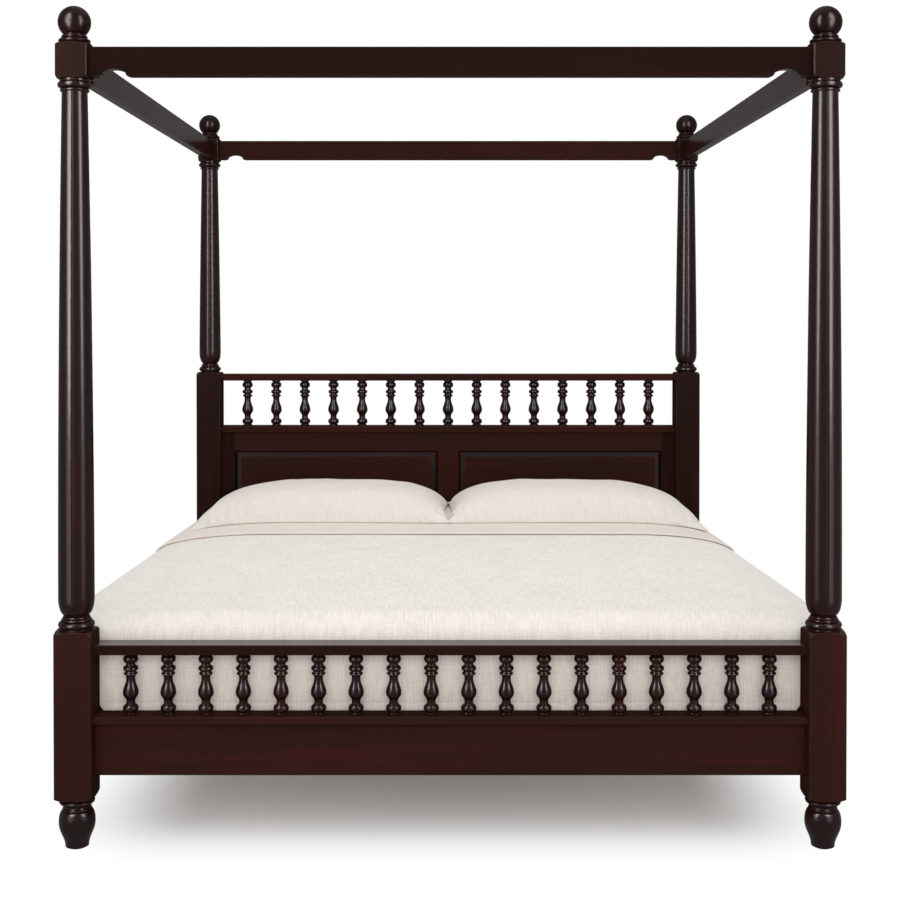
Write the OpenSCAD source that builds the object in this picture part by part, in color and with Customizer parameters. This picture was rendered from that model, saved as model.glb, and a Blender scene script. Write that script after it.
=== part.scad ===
// Four-poster canopy bed in dark stained wood, made up with a mattress, a coverlet, a turned-down
// sheet and two pillows. Millimetres. The origin is on the floor under the middle of the bed,
// +X is right and +Y is towards the headboard as seen from the foot, and +Z is up.

/* [Mattress and deck] */
// Width of the mattress
mattress_w = 1830; // [1500:10:2200]
// Length of the mattress
mattress_l = 1980; // [1650:10:2380]
// Thickness of the mattress
mattress_t = 275; // [225:5:300]
// Height of the slats' top faces, which the mattress lies on
deck_z = 300; // [285:5:330]
// Number of slats
slat_count = 14; // [8:1:16]
// Width of a slat
slat_w = 90; // [60:5:100]
// Thickness of a slat
slat_t = 19; // [15:1:25]

/* [Posts] */
// Width of a post's square base block
block_w = 96; // [80:1:116]
// Width of a post's square upper block
upper_block_w = 81; // [68:1:97]
// How far a foot post's base block stands above the cap rail
foot_block_reveal = 37; // [31:1:44]
// How far a head post's base block stands above the headboard's top rail
head_block_reveal = 8; // [4:1:20]
// Height of the turned foot under a base block
foot_h = 130; // [108:2:156]
// Largest radius of a turned foot
foot_r = 46.5; // [39:0.5:56]
// Largest radius of a shaft, above its beads
shaft_r = 46; // [40:0.5:55]
// Radius of a shaft where it meets its upper beads
shaft_top_r = 32.5; // [27:0.5:39]
// Radius of a finial's ball
ball_r = 42; // [35:1:50]

/* [Canopy] */
// Height of the canopy rails' undersides
canopy_z = 1986; // [1655:1:2383]
// Height of a canopy rail's face
canopy_h = 76; // [66:1:91]
// Thickness of a canopy rail
canopy_t = 30; // [25:1:36]
// Half the width of the arched notch near each end of a canopy rail
notch_half_w = 31; // [26:1:37]
// Height of the arched notch
notch_h = 19; // [16:1:23]
// Distance of the notch's centre from the end of the rail
notch_inset = 64; // [53:1:77]

/* [Footboard] */
// Height of the footboard board's underside, which the side rails share
board_z = 183; // [160:1:200]
// Height of the board's face
board_h = 140; // [120:1:160]
// Thickness of the board
board_t = 28; // [23:1:34]
// Thickness of the shelf rail on the board
shelf_t = 21; // [18:1:25]
// Length of a footboard spindle between its rails
foot_spindle_l = 158; // [132:1:190]
// Number of footboard spindles
foot_spindles = 18; // [8:1:21]
// Largest radius of a footboard spindle
foot_spindle_r = 20; // [17:0.5:24]
// Gap from a post to the centre of the first footboard spindle
foot_end_gap = 91.6; // [76:0.1:110]
// Thickness of the footboard's cap rail and the headboard's two upper rails
rail_t = 26; // [22:1:31]
// Depth of those rails and of the shelf rail, front to back
rail_d = 60; // [50:1:72]

/* [Headboard] */
// Height of the panel frame's underside
frame_z = 330; // [325:5:390]
// Top of the panel frame
frame_top = 885; // [800:5:1000]
// Thickness of the panel frame
frame_t = 40; // [34:1:48]
// Height of the frame's top rail
frame_top_h = 75; // [62:1:90]
// Height of the frame's bottom rail
frame_bottom_h = 100; // [83:1:120]
// Width of a stile
stile_w = 55; // [46:1:66]
// Width of the muntin between the panels
muntin_w = 84; // [70:1:100]
// Width of the bevel round a raised panel
bevel_w = 25; // [21:1:30]
// Length of a headboard spindle between its rails
head_spindle_l = 183; // [152:1:219]
// Number of headboard spindles
head_spindles = 15; // [8:1:17]
// Largest radius of a headboard spindle
head_spindle_r = 22; // [18:0.5:26]
// Gap from a post to the centre of the first headboard spindle
head_end_gap = 104; // [86:1:125]

/* [Side rails and support] */
// Height of a side rail's face
side_rail_h = 162; // [150:1:194]
// Thickness of a side rail
side_rail_t = 32; // [27:1:33]
// Thickness of a slat ledge
ledge_t = 30; // [25:1:36]
// Height of a slat ledge
ledge_h = 40; // [33:1:48]
// Width of the centre beam
beam_w = 60; // [50:1:72]
// Height of the centre beam
beam_h = 90; // [75:1:93]
// Number of centre legs
leg_count = 2; // [1:1:5]
// Width of a square centre leg
leg_w = 45; // [38:1:54]

/* [Bedding] */
// Thickness of the coverlet
cover_t = 12; // [8:1:14]
// How far the coverlet hangs below its own top at the sides
side_drop = 287; // [240:1:300]
// How far the coverlet hangs below its own top at the foot
foot_drop = 240; // [200:1:250]
// How far the cover stands out past the mattress before it hangs
cover_roll = 80; // [67:1:96]
// Depth of the hanging cloth's folds at its hem
fold_depth = 8; // [4:1:8]
// Thickness of the turned-down sheet
sheet_t = 5; // [4:1:6]
// Length of the turned-down sheet from its fold to its head end
sheet_l = 687; // [580:1:820]
// Width of a pillow
pillow_w = 950; // [790:5:960]
// Depth of a pillow, front to back
pillow_l = 476; // [400:1:570]
// Thickness of a pillow at its crown
pillow_h = 128; // [107:1:153]

/* [Hidden] */
$fn = 64;

// Colours
wood = "#33201c";
wood_red = "#3f221e";
bare_wood = "#b99a6b";
steel = "#9a9a98";
plastic = "#2a2a2a";
cream = "#e9e3da";
white_cloth = "#efebe4";

// Clearances
wood_gap = 0.2;        // of a pin, stud or tongue in its hole or groove
spigot_gap = 0.06;     // of a finial's spigot in its bore, which it slides out of
cloth_gap = 0.4;       // between layers of bedding
mattress_side_gap = 2; // from the mattress to a head post
foot_gap = 10;         // from the mattress to the foot posts' inner faces
head_gap = 2;          // from the mattress to the headboard
rail_side_gap = 3;     // from a side rail's inner face to the line of the posts' inner faces
slat_gap = 1.5;        // from a slat's end to the side rail
cut = 1;               // how far a cutting solid runs past the face that it opens

// Places of the posts' axes and the faces that depend on them
post_x = mattress_w / 2 + mattress_side_gap + block_w / 2;
post_y = (mattress_l + foot_gap + block_w / 2 + head_gap + frame_t / 2) / 2;
clear_x = post_x - block_w / 2;
clear_y = post_y - block_w / 2;
mattress_y0 = -clear_y + foot_gap;
mattress_y1 = mattress_y0 + mattress_l;
frame_y = post_y - frame_t / 2;

// Heights
block_ease = 3;
edge_ease = 2;         // on the long edges of rails and boards
block_end_r = 44;
foot_shoulder_h = 18;
shoulder_h = 34;
upper_end_r = 39;
upper_shoulder_h = 30;
upper_block_z = canopy_z - 7;
upper_block_top = canopy_z + canopy_h + 10;
bead_h = 36;           // height of the beads between a base block and its shaft
neck_h = 33;           // height of the beads between a shaft and its upper block
shelf_z = board_z + board_h;
shelf_top = shelf_z + shelf_t;
cap_z = shelf_top + foot_spindle_l;
middle_top = frame_top + rail_t;
head_top_z = middle_top + head_spindle_l;
foot_block_top = cap_z + rail_t + foot_block_reveal;
head_block_top = head_top_z + rail_t + head_block_reveal;
panel_z0 = frame_z + frame_bottom_h;
panel_z1 = frame_top - frame_top_h;
ledge_top = deck_z - slat_t;
mattress_top = deck_z + mattress_t;
cover_top = mattress_top + cloth_gap + cover_t;
sheet_top = cover_top + cloth_gap + sheet_t;

// Joinery
tenon_l = 30;          // length of a rail's tenon in a base block
tenon_wall = 4;        // wood above and below a rail's tenon
tenon_d = 36;          // depth of a rail's tenon, front to back
board_tenon_t = 14;
board_tenon_wall = 20;
canopy_tenon_l = 24;
canopy_tenon_t = 14;
canopy_tenon_wall = 10;
stile_tenon_l = 22;
pin_r = 7;
pin_l = 12;
tongue_t = 12;
tongue_l = 8;
panel_set = 14;        // from the frame's front face to the panel's tongue
stud_r = 6;
stud_l = 140;
spigot_r = 10;
spigot_l = 40;

// Fittings
glide_h = 3;
glide_r = 24;
leg_glide_h = 6;
leg_glide_r = 18;
nail_r = 3;
nail_l = 15;
dowel_r = 10;
dowel_l = 30;
plate_w = 20;
plate_h = 130;
plate_t = 3;
hook_t = 4;
hook_h = 18;
hook_reach = 13;
hook_lip = 8;
hook_pitch = 70;
slot_gap = 0.5;
pocket_depth = 18;
hanger_t = 3;
hanger_l = 60;
hanger_flange = 20;
hanger_gap = 0.5;

// Turning profiles. Each function gives [radius, height] points, from the bottom up.

// A half-round bead of the given half height that stands out by bulge from core radius core_r
function bead(z, core_r, bulge, half_h, steps = 6) =
    [for (i = [0:steps]) let (a = -90 + 180 * i / steps) [core_r + bulge * cos(a), z + half_h * sin(a)]];

// An S curve from radius r0 at height z0 to radius r1 at height z1
function cyma(z0, r0, z1, r1, steps = 8) =
    [for (i = [0:steps]) let (t = i / steps) [r0 + (r1 - r0) * (1 - cos(180 * t)) / 2, z0 + (z1 - z0) * t]];

// A quarter curve that leaves radius r0 level and reaches radius r1 upright
function round_out(z0, r0, z1, r1, steps = 6) =
    [for (i = [0:steps]) let (a = 90 * i / steps) [r0 + (r1 - r0) * sin(a), z0 + (z1 - z0) * (1 - cos(a))]];

// A quarter curve that leaves radius r0 upright and reaches radius r1 level
function round_in(z0, r0, z1, r1, steps = 6) =
    [for (i = [0:steps]) let (a = 90 * i / steps) [r0 + (r1 - r0) * (1 - cos(a)), z0 + (z1 - z0) * sin(a)]];

// Radius of every shaft at height z: full low down, and drawn in faster towards the top
shaft_z0 = foot_block_top + bead_h;
shaft_z1 = upper_block_z - neck_h;
entasis = 1.85;
function shaft_radius(z) =
    let (s = max(0, (z - shaft_z0) / (shaft_z1 - shaft_z0)))
    shaft_r - (shaft_r - shaft_top_r) * pow(s, entasis);

// The vase-shaped foot, with a thin ring at its neck and a heavy one under the block
function foot_turning() = concat(
    [[0, glide_h]],
    cyma(glide_h, foot_r * 0.64, foot_h * 0.49, foot_r),
    round_in(foot_h * 0.52, foot_r, foot_h * 0.75, foot_r * 0.76, 8),
    bead(foot_h * 0.775, foot_r * 0.71, foot_r * 0.09, foot_h * 0.022),
    [[foot_r * 0.69, foot_h * 0.81], [foot_r * 0.69, foot_h * 0.84]],
    bead(foot_h * 0.92, foot_r * 0.73, foot_r * 0.25, foot_h * 0.06, 8),
    [[foot_r * 0.76, foot_h + block_ease], [0, foot_h + block_ease]]);

// Beads, shaft and upper beads of a post whose base block ends at base_z
swell_h = 45;          // height over which a shaft swells out above its lower beads
function shaft_turning(base_z) =
    let (z0 = base_z + bead_h, r0 = shaft_radius(z0), z1 = z0 + swell_h, steps = 22) concat(
    [[0, base_z], [r0 * 0.9, base_z]],
    bead(base_z + 12, r0 * 0.82, r0 * 0.19, 9),
    bead(base_z + 24.5, r0 * 0.73, r0 * 0.11, 3.5),
    bead(base_z + 31, r0 * 0.68, r0 * 0.08, 3),
    round_out(z0, r0 * 0.63, z1, shaft_radius(z1), 9),
    [for (i = [1:steps]) let (z = z1 + (shaft_z1 - z1) * i / steps) [shaft_radius(z), z]],
    bead(shaft_z1 + 5, shaft_top_r, 5, 4),
    bead(shaft_z1 + 19, shaft_top_r + 3, 8, 8.5),
    [[shaft_top_r + 5, shaft_z1 + 28.5], [shaft_top_r + 5, upper_block_z + block_ease],
     [0, upper_block_z + block_ease]]);

// Two rings and the neck that runs up into the finial's ball, seated on the post's top
neck_r = ball_r * 0.66;
neck_top = upper_block_top + 22.5;
ball_z = neck_top + sqrt(ball_r * ball_r - neck_r * neck_r);
function finial_turning() = concat(
    [[0, upper_block_top], [ball_r * 0.86, upper_block_top]],
    bead(upper_block_top + 6, ball_r * 0.78, ball_r * 0.19, 5.5),
    bead(upper_block_top + 16.5, ball_r * 0.67, ball_r * 0.12, 4),
    [[neck_r, neck_top - 1], [neck_r, ball_z], [0, ball_z]]);

// Spindle of length len whose largest radius is r: a ball, a vase, two rings and a ball between collars
function spindle_turning(len, r) = concat(
    [[0, 0], [r * 0.82, 0], [r * 0.82, len * 0.022]],
    bead(len * 0.095, r * 0.58, r * 0.42, len * 0.062),
    cyma(len * 0.215, r * 0.56, len * 0.335, r, 6),
    cyma(len * 0.355, r, len * 0.575, r * 0.56, 8),
    [[r * 0.58, len * 0.615]],
    bead(len * 0.663, r * 0.68, r * 0.21, len * 0.022, 4),
    bead(len * 0.748, r * 0.62, r * 0.35, len * 0.042),
    bead(len * 0.9, r * 0.58, r * 0.38, len * 0.062),
    [[r * 0.8, len * 0.978], [r * 0.8, len], [0, len]]);

// Flat outlines

function turned(p, a) = [p[0] * cos(a) - p[1] * sin(a), p[0] * sin(a) + p[1] * cos(a)];

function reversed(list) = [for (i = [len(list) - 1:-1:0]) list[i]];

module eased_square(w) {
    h = w / 2;
    polygon([for (a = [0:90:270], p = [[h, h - block_ease], [h - block_ease, h]]) turned(p, a)]);
}

// Rectangle between two corners, with its own corners eased
module eased_rect(low, high) {
    e = edge_ease;
    polygon([[low[0] + e, low[1]], [high[0] - e, low[1]], [high[0], low[1] + e], [high[0], high[1] - e],
        [high[0] - e, high[1]], [low[0] + e, high[1]], [low[0], high[1] - e], [low[0], low[1] + e]]);
}

// Arched notch with small flared ends, standing on y = 0
module notch_outline() {
    flare = 9;
    foot = 3;
    arch = [for (a = [0:15:180]) [notch_half_w * cos(a), foot + (notch_h - foot) * sin(a)]];
    polygon(concat([[notch_half_w + flare, 0]], arch, [[-notch_half_w - flare, 0],
        [-notch_half_w - flare, -cut], [notch_half_w + flare, -cut]]));
}

// Solids that repeat

// Puts a child, drawn with its inner faces looking to -X and -Y, at a corner of the bed
module at_corner(side, end) {
    mirror([side < 0 ? 1 : 0, 0, 0]) mirror([0, end < 0 ? 1 : 0, 0])
        translate([post_x, post_y, 0]) children();
}

module at_all_corners() {
    for (side = [-1, 1], end = [-1, 1]) at_corner(side, end) children();
}

// Box between two opposite corners
module span(low, high) {
    translate(low) cube(high - low);
}

// Rail or board along X between two corners, with its long edges eased
module eased_span(low, high) {
    translate([low[0], 0, 0]) rotate([90, 0, 90]) linear_extrude(high[0] - low[0])
        eased_rect([low[1], low[2]], [high[1], high[2]]);
}

// Square block whose ends were rounded off on the lathe, over the given heights
module turned_block(w, z0, z1, end_r, low_shoulder, high_shoulder) {
    out_r = w * 0.78;  // past the block's corners
    bottom = round_out(z0, end_r, z0 + low_shoulder, out_r, 8);
    top = round_out(z1, end_r, z1 - high_shoulder, out_r, 8);
    intersection() {
        translate([0, 0, z0 - cut]) linear_extrude(z1 - z0 + 2 * cut) eased_square(w);
        rotate_extrude() polygon(concat([[0, z0]], bottom, reversed(top), [[0, z1]]));
    }
}

// Tenon that runs from the face x = 0 towards +X by l, centred on y, between heights z0 and z1
module tenon(l, y, d, z0, z1) {
    span([0, y - d / 2, z0], [l, y + d / 2, z1]);
}

// Mortises for a rail's tenons, cut in a base block's inner X face
module block_mortise(y, d, z0, z1) {
    translate([-block_w / 2, 0, 0]) span([-cut, y - d / 2, z0], [tenon_l, y + d / 2, z1]);
}

// Post base: turned foot and square block, with holes for the glide's nail and the stud, and the
// recess for the side rail's plate
module post_base(top_z) {
    difference() {
        union() {
            rotate_extrude() polygon(foot_turning());
            turned_block(block_w, foot_h, top_z, block_end_r, foot_shoulder_h, shoulder_h);
        }
        translate([0, 0, glide_h - cut]) cylinder(r = nail_r + wood_gap, h = nail_l + 2 * cut);
        translate([0, 0, top_z - stud_l / 2 - cut]) cylinder(r = stud_r + wood_gap, h = stud_l / 2 + 2 * cut);
        slot_plate_recess();
        children();
    }
}

// Post shaft: beads, tapering column and upper block, with mortises for two canopy rails and the
// finial's bore
module post_shaft(base_z) {
    color(wood) difference() {
        union() {
            rotate_extrude() polygon(shaft_turning(base_z));
            turned_block(upper_block_w, upper_block_z, upper_block_top, upper_end_r, upper_shoulder_h,
                upper_shoulder_h);
        }
        translate([0, 0, base_z - cut]) cylinder(r = stud_r + wood_gap, h = stud_l / 2 + 2 * cut);
        translate([0, 0, upper_block_top - spigot_l - cut])
            cylinder(r = spigot_r + spigot_gap, h = spigot_l + 2 * cut);
        for (a = [0, 90]) rotate([0, 0, a]) canopy_mortise();
    }
}

module canopy_mortise() {
    translate([-upper_block_w / 2 - cut, -canopy_tenon_t / 2, canopy_z + canopy_tenon_wall])
        cube([canopy_tenon_l + cut, canopy_tenon_t, canopy_h - 2 * canopy_tenon_wall]);
}

// Footboard's mortises: cap rail, shelf rail and board
module foot_mortises() {
    block_mortise(0, tenon_d, cap_z + tenon_wall, cap_z + rail_t - tenon_wall);
    block_mortise(0, tenon_d, shelf_z + tenon_wall, shelf_top - tenon_wall);
    block_mortise(-board_t / 2, board_tenon_t, board_z + board_tenon_wall, shelf_z - board_tenon_wall);
}

// Headboard's mortises: top rail, middle rail and stretcher
module head_mortises() {
    block_mortise(0, tenon_d, head_top_z + tenon_wall, head_top_z + rail_t - tenon_wall);
    block_mortise(0, tenon_d, frame_top + tenon_wall, middle_top - tenon_wall);
    block_mortise(stretcher_y - post_y, board_tenon_t, board_z + board_tenon_wall,
        shelf_z - board_tenon_wall);
}

module finial() {
    color(wood) union() {
        rotate_extrude() polygon(finial_turning());
        translate([0, 0, ball_z]) sphere(r = ball_r);
        translate([0, 0, upper_block_top - spigot_l]) cylinder(r = spigot_r, h = spigot_l + cut);
    }
}

// Canopy rail of the given length between blocks, along X, centred on the origin
module canopy_rail(length) {
    end_x = length / 2;
    color(wood) union() {
        difference() {
            eased_span([-end_x, -canopy_t / 2, canopy_z], [end_x, canopy_t / 2, canopy_z + canopy_h]);
            for (side = [-1, 1])
                translate([side * (end_x - notch_inset), canopy_t / 2 + cut, canopy_z])
                    rotate([90, 0, 0]) linear_extrude(canopy_t + 2 * cut) notch_outline();
        }
        for (side = [0, 1]) mirror([side, 0, 0]) translate([end_x, 0, 0])
            tenon(canopy_tenon_l, 0, canopy_tenon_t, canopy_z + canopy_tenon_wall,
                canopy_z + canopy_h - canopy_tenon_wall);
    }
}

// Rail along X between two base blocks, with a tenon at each end
module block_rail(y, d, z0, z1, tenon_y, tenon_depth, wall) {
    union() {
        eased_span([-clear_x, y - d / 2, z0], [clear_x, y + d / 2, z1]);
        for (side = [0, 1]) mirror([side, 0, 0]) translate([clear_x, 0, 0])
            tenon(tenon_l, tenon_y, tenon_depth, z0 + wall, z1 - wall);
    }
}

// X of spindle i of count, spaced evenly between end gaps
function spindle_x(i, count, gap) = -clear_x + gap + (2 * clear_x - 2 * gap) * i / (count - 1);

// Holes for the spindles' pins, from the face at height z, up or down by depth
module pin_holes(y, z, depth, count, gap) {
    for (i = [0:count - 1])
        translate([spindle_x(i, count, gap), y, min(z, z + depth)])
            cylinder(r = pin_r + wood_gap, h = abs(depth), $fn = 32);
}

// Row of turned spindles with a pin at each end
module spindle_row(y, z, length, r, count, gap) {
    for (i = [0:count - 1]) translate([spindle_x(i, count, gap), y, z]) union() {
        rotate_extrude($fn = 48) polygon(spindle_turning(length, r));
        translate([0, 0, -pin_l]) cylinder(r = pin_r, h = length + 2 * pin_l, $fn = 32);
    }
}

// Posts

module foot_post_base_left() { color(wood) at_corner(-1, -1) post_base(foot_block_top) foot_mortises(); }
module foot_post_base_right() { color(wood) at_corner(1, -1) post_base(foot_block_top) foot_mortises(); }
module head_post_base_left() { color(wood) at_corner(-1, 1) post_base(head_block_top) head_mortises(); }
module head_post_base_right() { color(wood) at_corner(1, 1) post_base(head_block_top) head_mortises(); }

module foot_post_shaft_left() { at_corner(-1, -1) post_shaft(foot_block_top); }
module foot_post_shaft_right() { at_corner(1, -1) post_shaft(foot_block_top); }
module head_post_shaft_left() { at_corner(-1, 1) post_shaft(head_block_top); }
module head_post_shaft_right() { at_corner(1, 1) post_shaft(head_block_top); }

module finial_foot_left() { at_corner(-1, -1) finial(); }
module finial_foot_right() { at_corner(1, -1) finial(); }
module finial_head_left() { at_corner(-1, 1) finial(); }
module finial_head_right() { at_corner(1, 1) finial(); }

// Steel studs that join each base to its shaft
module post_studs() {
    color(steel) for (side = [-1, 1], end = [-1, 1]) at_corner(side, end)
        translate([0, 0, (end < 0 ? foot_block_top : head_block_top) - stud_l / 2])
            cylinder(r = stud_r, h = stud_l);
}

// Nail-on glides under the posts' feet
module foot_glides() {
    color(plastic) at_all_corners() union() {
        cylinder(r = glide_r, h = glide_h);
        cylinder(r = nail_r, h = glide_h + nail_l);
    }
}

// Canopy

canopy_x_length = 2 * (post_x - upper_block_w / 2);
canopy_y_length = 2 * (post_y - upper_block_w / 2);

module canopy_rail_foot() { translate([0, -post_y, 0]) canopy_rail(canopy_x_length); }
module canopy_rail_head() { translate([0, post_y, 0]) canopy_rail(canopy_x_length); }
module canopy_rail_left() { translate([-post_x, 0, 0]) rotate([0, 0, 90]) canopy_rail(canopy_y_length); }
module canopy_rail_right() { translate([post_x, 0, 0]) rotate([0, 0, 90]) canopy_rail(canopy_y_length); }

// Footboard

board_y = -post_y + board_t / 2;

module footboard_cap_rail() {
    color(wood) difference() {
        block_rail(-post_y, rail_d, cap_z, cap_z + rail_t, -post_y, tenon_d, tenon_wall);
        pin_holes(-post_y, cap_z - cut, pin_l + 2 * cut, foot_spindles, foot_end_gap);
    }
}

module footboard_shelf_rail() {
    color(wood_red) difference() {
        block_rail(-post_y, rail_d, shelf_z, shelf_top, -post_y, tenon_d, tenon_wall);
        pin_holes(-post_y, shelf_top + cut, -pin_l - 2 * cut, foot_spindles, foot_end_gap);
    }
}

module footboard_spindles() {
    color(wood) spindle_row(-post_y, shelf_top, foot_spindle_l, foot_spindle_r, foot_spindles, foot_end_gap);
}

module footboard_board() {
    color(wood_red) block_rail(board_y, board_t, board_z, shelf_z, board_y, board_tenon_t, board_tenon_wall);
}

// Headboard

stretcher_y = frame_y + board_t / 2;
panel_x0 = muntin_w / 2;
panel_x1 = clear_x - stile_w;

module headboard_top_rail() {
    color(wood_red) difference() {
        block_rail(post_y, rail_d, head_top_z, head_top_z + rail_t, post_y, tenon_d, tenon_wall);
        pin_holes(post_y, head_top_z - cut, pin_l + 2 * cut, head_spindles, head_end_gap);
    }
}

module headboard_middle_rail() {
    color(wood_red) difference() {
        block_rail(post_y, rail_d, frame_top, middle_top, post_y, tenon_d, tenon_wall);
        pin_holes(post_y, middle_top + cut, -pin_l - 2 * cut, head_spindles, head_end_gap);
    }
}

module headboard_spindles() {
    color(wood) spindle_row(post_y, middle_top, head_spindle_l, head_spindle_r, head_spindles, head_end_gap);
}

// Groove for a panel's tongue, in the frame's thickness: a box from low to high in X and Z
module tongue_groove(low, high) {
    y0 = frame_y + panel_set - wood_gap;
    span([low[0], y0, low[1]], [high[0], y0 + tongue_t + 2 * wood_gap, high[1]]);
}

// The four grooves that hold the right-hand panel, as one opening that the frame pieces lose
module panel_pocket() {
    for (side = [0, 1]) mirror([side, 0, 0])
        tongue_groove([panel_x0 - tongue_l - wood_gap, panel_z0 - tongue_l - wood_gap],
            [panel_x1 + tongue_l + wood_gap, panel_z1 + tongue_l + wood_gap]);
}

// Tenon in the middle of the frame's thickness, between two corners in X and Z
module frame_tenon(low, high) {
    span([low[0], post_y + frame_t / 2 - panel_set - tongue_t / 2, low[1]],
        [high[0], post_y + frame_t / 2 - tongue_t / 2, high[1]]);
}

module frame_rail(z0, z1) {
    difference() {
        union() {
            span([-panel_x1, frame_y, z0], [panel_x1, frame_y + frame_t, z1]);
            for (side = [0, 1]) mirror([side, 0, 0])
                frame_tenon([panel_x1 - cut, z0 + board_tenon_wall],
                    [panel_x1 + stile_tenon_l, z1 - board_tenon_wall]);
        }
        panel_pocket();
        muntin_tenons();
    }
}

module muntin_tenons() {
    tenon_half = muntin_w / 2 - 2 * tongue_l;
    frame_tenon([-tenon_half, panel_z0 - stile_tenon_l], [tenon_half, panel_z1 + stile_tenon_l]);
}

module headboard_frame_top() { color(wood_red) frame_rail(panel_z1, frame_top); }
module headboard_frame_bottom() { color(wood) frame_rail(frame_z, panel_z0); }

// Right-hand stile; the left-hand one is its mirror image
module stile() {
    color(wood) difference() {
        span([panel_x1, frame_y, frame_z], [clear_x, frame_y + frame_t, frame_top]);
        panel_pocket();
        for (ends = [[frame_z, panel_z0], [panel_z1, frame_top]])
            frame_tenon([panel_x1 - cut, ends[0] + board_tenon_wall],
                [panel_x1 + stile_tenon_l, ends[1] - board_tenon_wall]);
    }
}

module headboard_stile_left() { mirror([1, 0, 0]) stile(); }
module headboard_stile_right() { stile(); }

module headboard_muntin() {
    color(wood_red) union() {
        difference() {
            span([-panel_x0, frame_y, panel_z0], [panel_x0, frame_y + frame_t, panel_z1]);
            panel_pocket();
        }
        muntin_tenons();
    }
}

// Raised and fielded panel: a tongue all round, a bevel with mitred corners, a quirk and a flat field
module raised_panel() {
    back = panel_set + tongue_t;
    bevel_foot = panel_set - 1;
    field = 4;
    quirk_w = 3;
    quirk_depth = 2;
    // Half profile as [distance from the tongue's edge, depth behind the frame's front face]
    half = [[0, back], [0, panel_set], [tongue_l, panel_set], [tongue_l, bevel_foot],
        [tongue_l + bevel_w, field]];
    w = panel_x1 - panel_x0 + 2 * tongue_l;
    h = panel_z1 - panel_z0 + 2 * tongue_l;
    color(wood) translate([panel_x0 - tongue_l, frame_y, panel_z0 - tongue_l]) difference() {
        intersection() {
            translate([0, 0, -cut]) linear_extrude(h + 2 * cut)
                polygon(concat(half, reversed([for (p = half) [w - p[0], p[1]]])));
            translate([-cut, 0, 0]) rotate([90, 0, 90]) linear_extrude(w + 2 * cut)
                polygon(concat([for (p = half) [p[1], p[0]]], reversed([for (p = half) [p[1], h - p[0]]])));
        }
        difference() {
            inset = tongue_l + bevel_w;
            span([inset, field - cut, inset], [w - inset, field + quirk_depth, h - inset]);
            span([inset + quirk_w, field - 2 * cut, inset + quirk_w],
                [w - inset - quirk_w, field + quirk_depth + cut, h - inset - quirk_w]);
        }
    }
}

module headboard_panel_left() { mirror([1, 0, 0]) raised_panel(); }
module headboard_panel_right() { raised_panel(); }

// Cross rail under the panel frame, which carries the head end of the centre beam
module headboard_stretcher() {
    color(wood)
        block_rail(stretcher_y, board_t, board_z, shelf_z, stretcher_y, board_tenon_t, board_tenon_wall);
}

// Side rails and their hook fittings

side_rail_x = clear_x + rail_side_gap;
plate_x = side_rail_x + side_rail_t / 2;
plate_z = board_z + side_rail_h / 2 - plate_h / 2;

// Right-hand side rail, with a recess for a hook plate in each end
module side_rail() {
    color(wood_red) difference() {
        rotate([0, 0, 90]) eased_span([-clear_y, -side_rail_x - side_rail_t, board_z],
            [clear_y, -side_rail_x, board_z + side_rail_h]);
        for (end = [0, 1]) mirror([0, end, 0])
            span([plate_x - plate_w / 2, clear_y - plate_t, plate_z],
                [plate_x + plate_w / 2, clear_y + cut, plate_z + plate_h]);
    }
}

module side_rail_left() { mirror([1, 0, 0]) side_rail(); }
module side_rail_right() { side_rail(); }

// Heights of a fitting's two hooks
hook_heights = [for (side = [-1, 1]) plate_z + (plate_h - hook_h) / 2 + side * hook_pitch / 2];

// Block of the fittings, half_w wide to each side of a rail's middle, between depths y0 and y1 past the
// post's inner face and heights z0 and z1
module fitting_block(half_w, y0, y1, z0, z1) {
    span([plate_x - half_w, clear_y + y0, z0], [plate_x + half_w, clear_y + y1, z1]);
}

// Puts the fittings of the rear right-hand corner at all four
module at_rail_ends() {
    for (side = [0, 1], end = [0, 1]) mirror([side, 0, 0]) mirror([0, end, 0]) children();
}

// Plate let into a rail's end, with two hooks that drop behind the post's plate
module rail_hook_plates() {
    hook_y0 = plate_t + slot_gap;
    color(steel) at_rail_ends() union() {
        fitting_block(plate_w / 2, -plate_t, 0, plate_z, plate_z + plate_h);
        for (z = hook_heights) {
            fitting_block(hook_t / 2, -cut, hook_reach, z + hook_lip, z + hook_h);
            fitting_block(hook_t / 2, hook_y0, hook_reach, z, z + hook_h);
        }
    }
}

// Plate let into a post's face, with a slot for each hook
module post_slot_plates() {
    slot_half = hook_t / 2 + slot_gap;
    color(steel) at_rail_ends() difference() {
        fitting_block(plate_w / 2, 0, plate_t, plate_z, plate_z + plate_h);
        for (z = hook_heights)
            fitting_block(slot_half, -cut, plate_t + cut, z + hook_lip - slot_gap,
                z + hook_h + hook_lip + slot_gap);
    }
}

// Recess for that plate, and the pocket behind it that the hooks drop into, in the corner's own frame
module slot_plate_recess() {
    pocket_half = hook_t / 2 + 2 * slot_gap;
    pocket_end = 2 * plate_t;
    translate([-post_x, -post_y, 0]) {
        fitting_block(plate_w / 2, -cut, plate_t, plate_z, plate_z + plate_h);
        fitting_block(pocket_half, 0, pocket_depth, plate_z + pocket_end, plate_z + plate_h - pocket_end);
    }
}

// Slats and their support

ledge_end_gap = 20;

module ledge() {
    color(wood) span([side_rail_x - ledge_t, -clear_y + ledge_end_gap, ledge_top - ledge_h],
        [side_rail_x, clear_y - ledge_end_gap, ledge_top]);
}

module slat_ledge_left() { mirror([1, 0, 0]) ledge(); }
module slat_ledge_right() { ledge(); }

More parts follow.
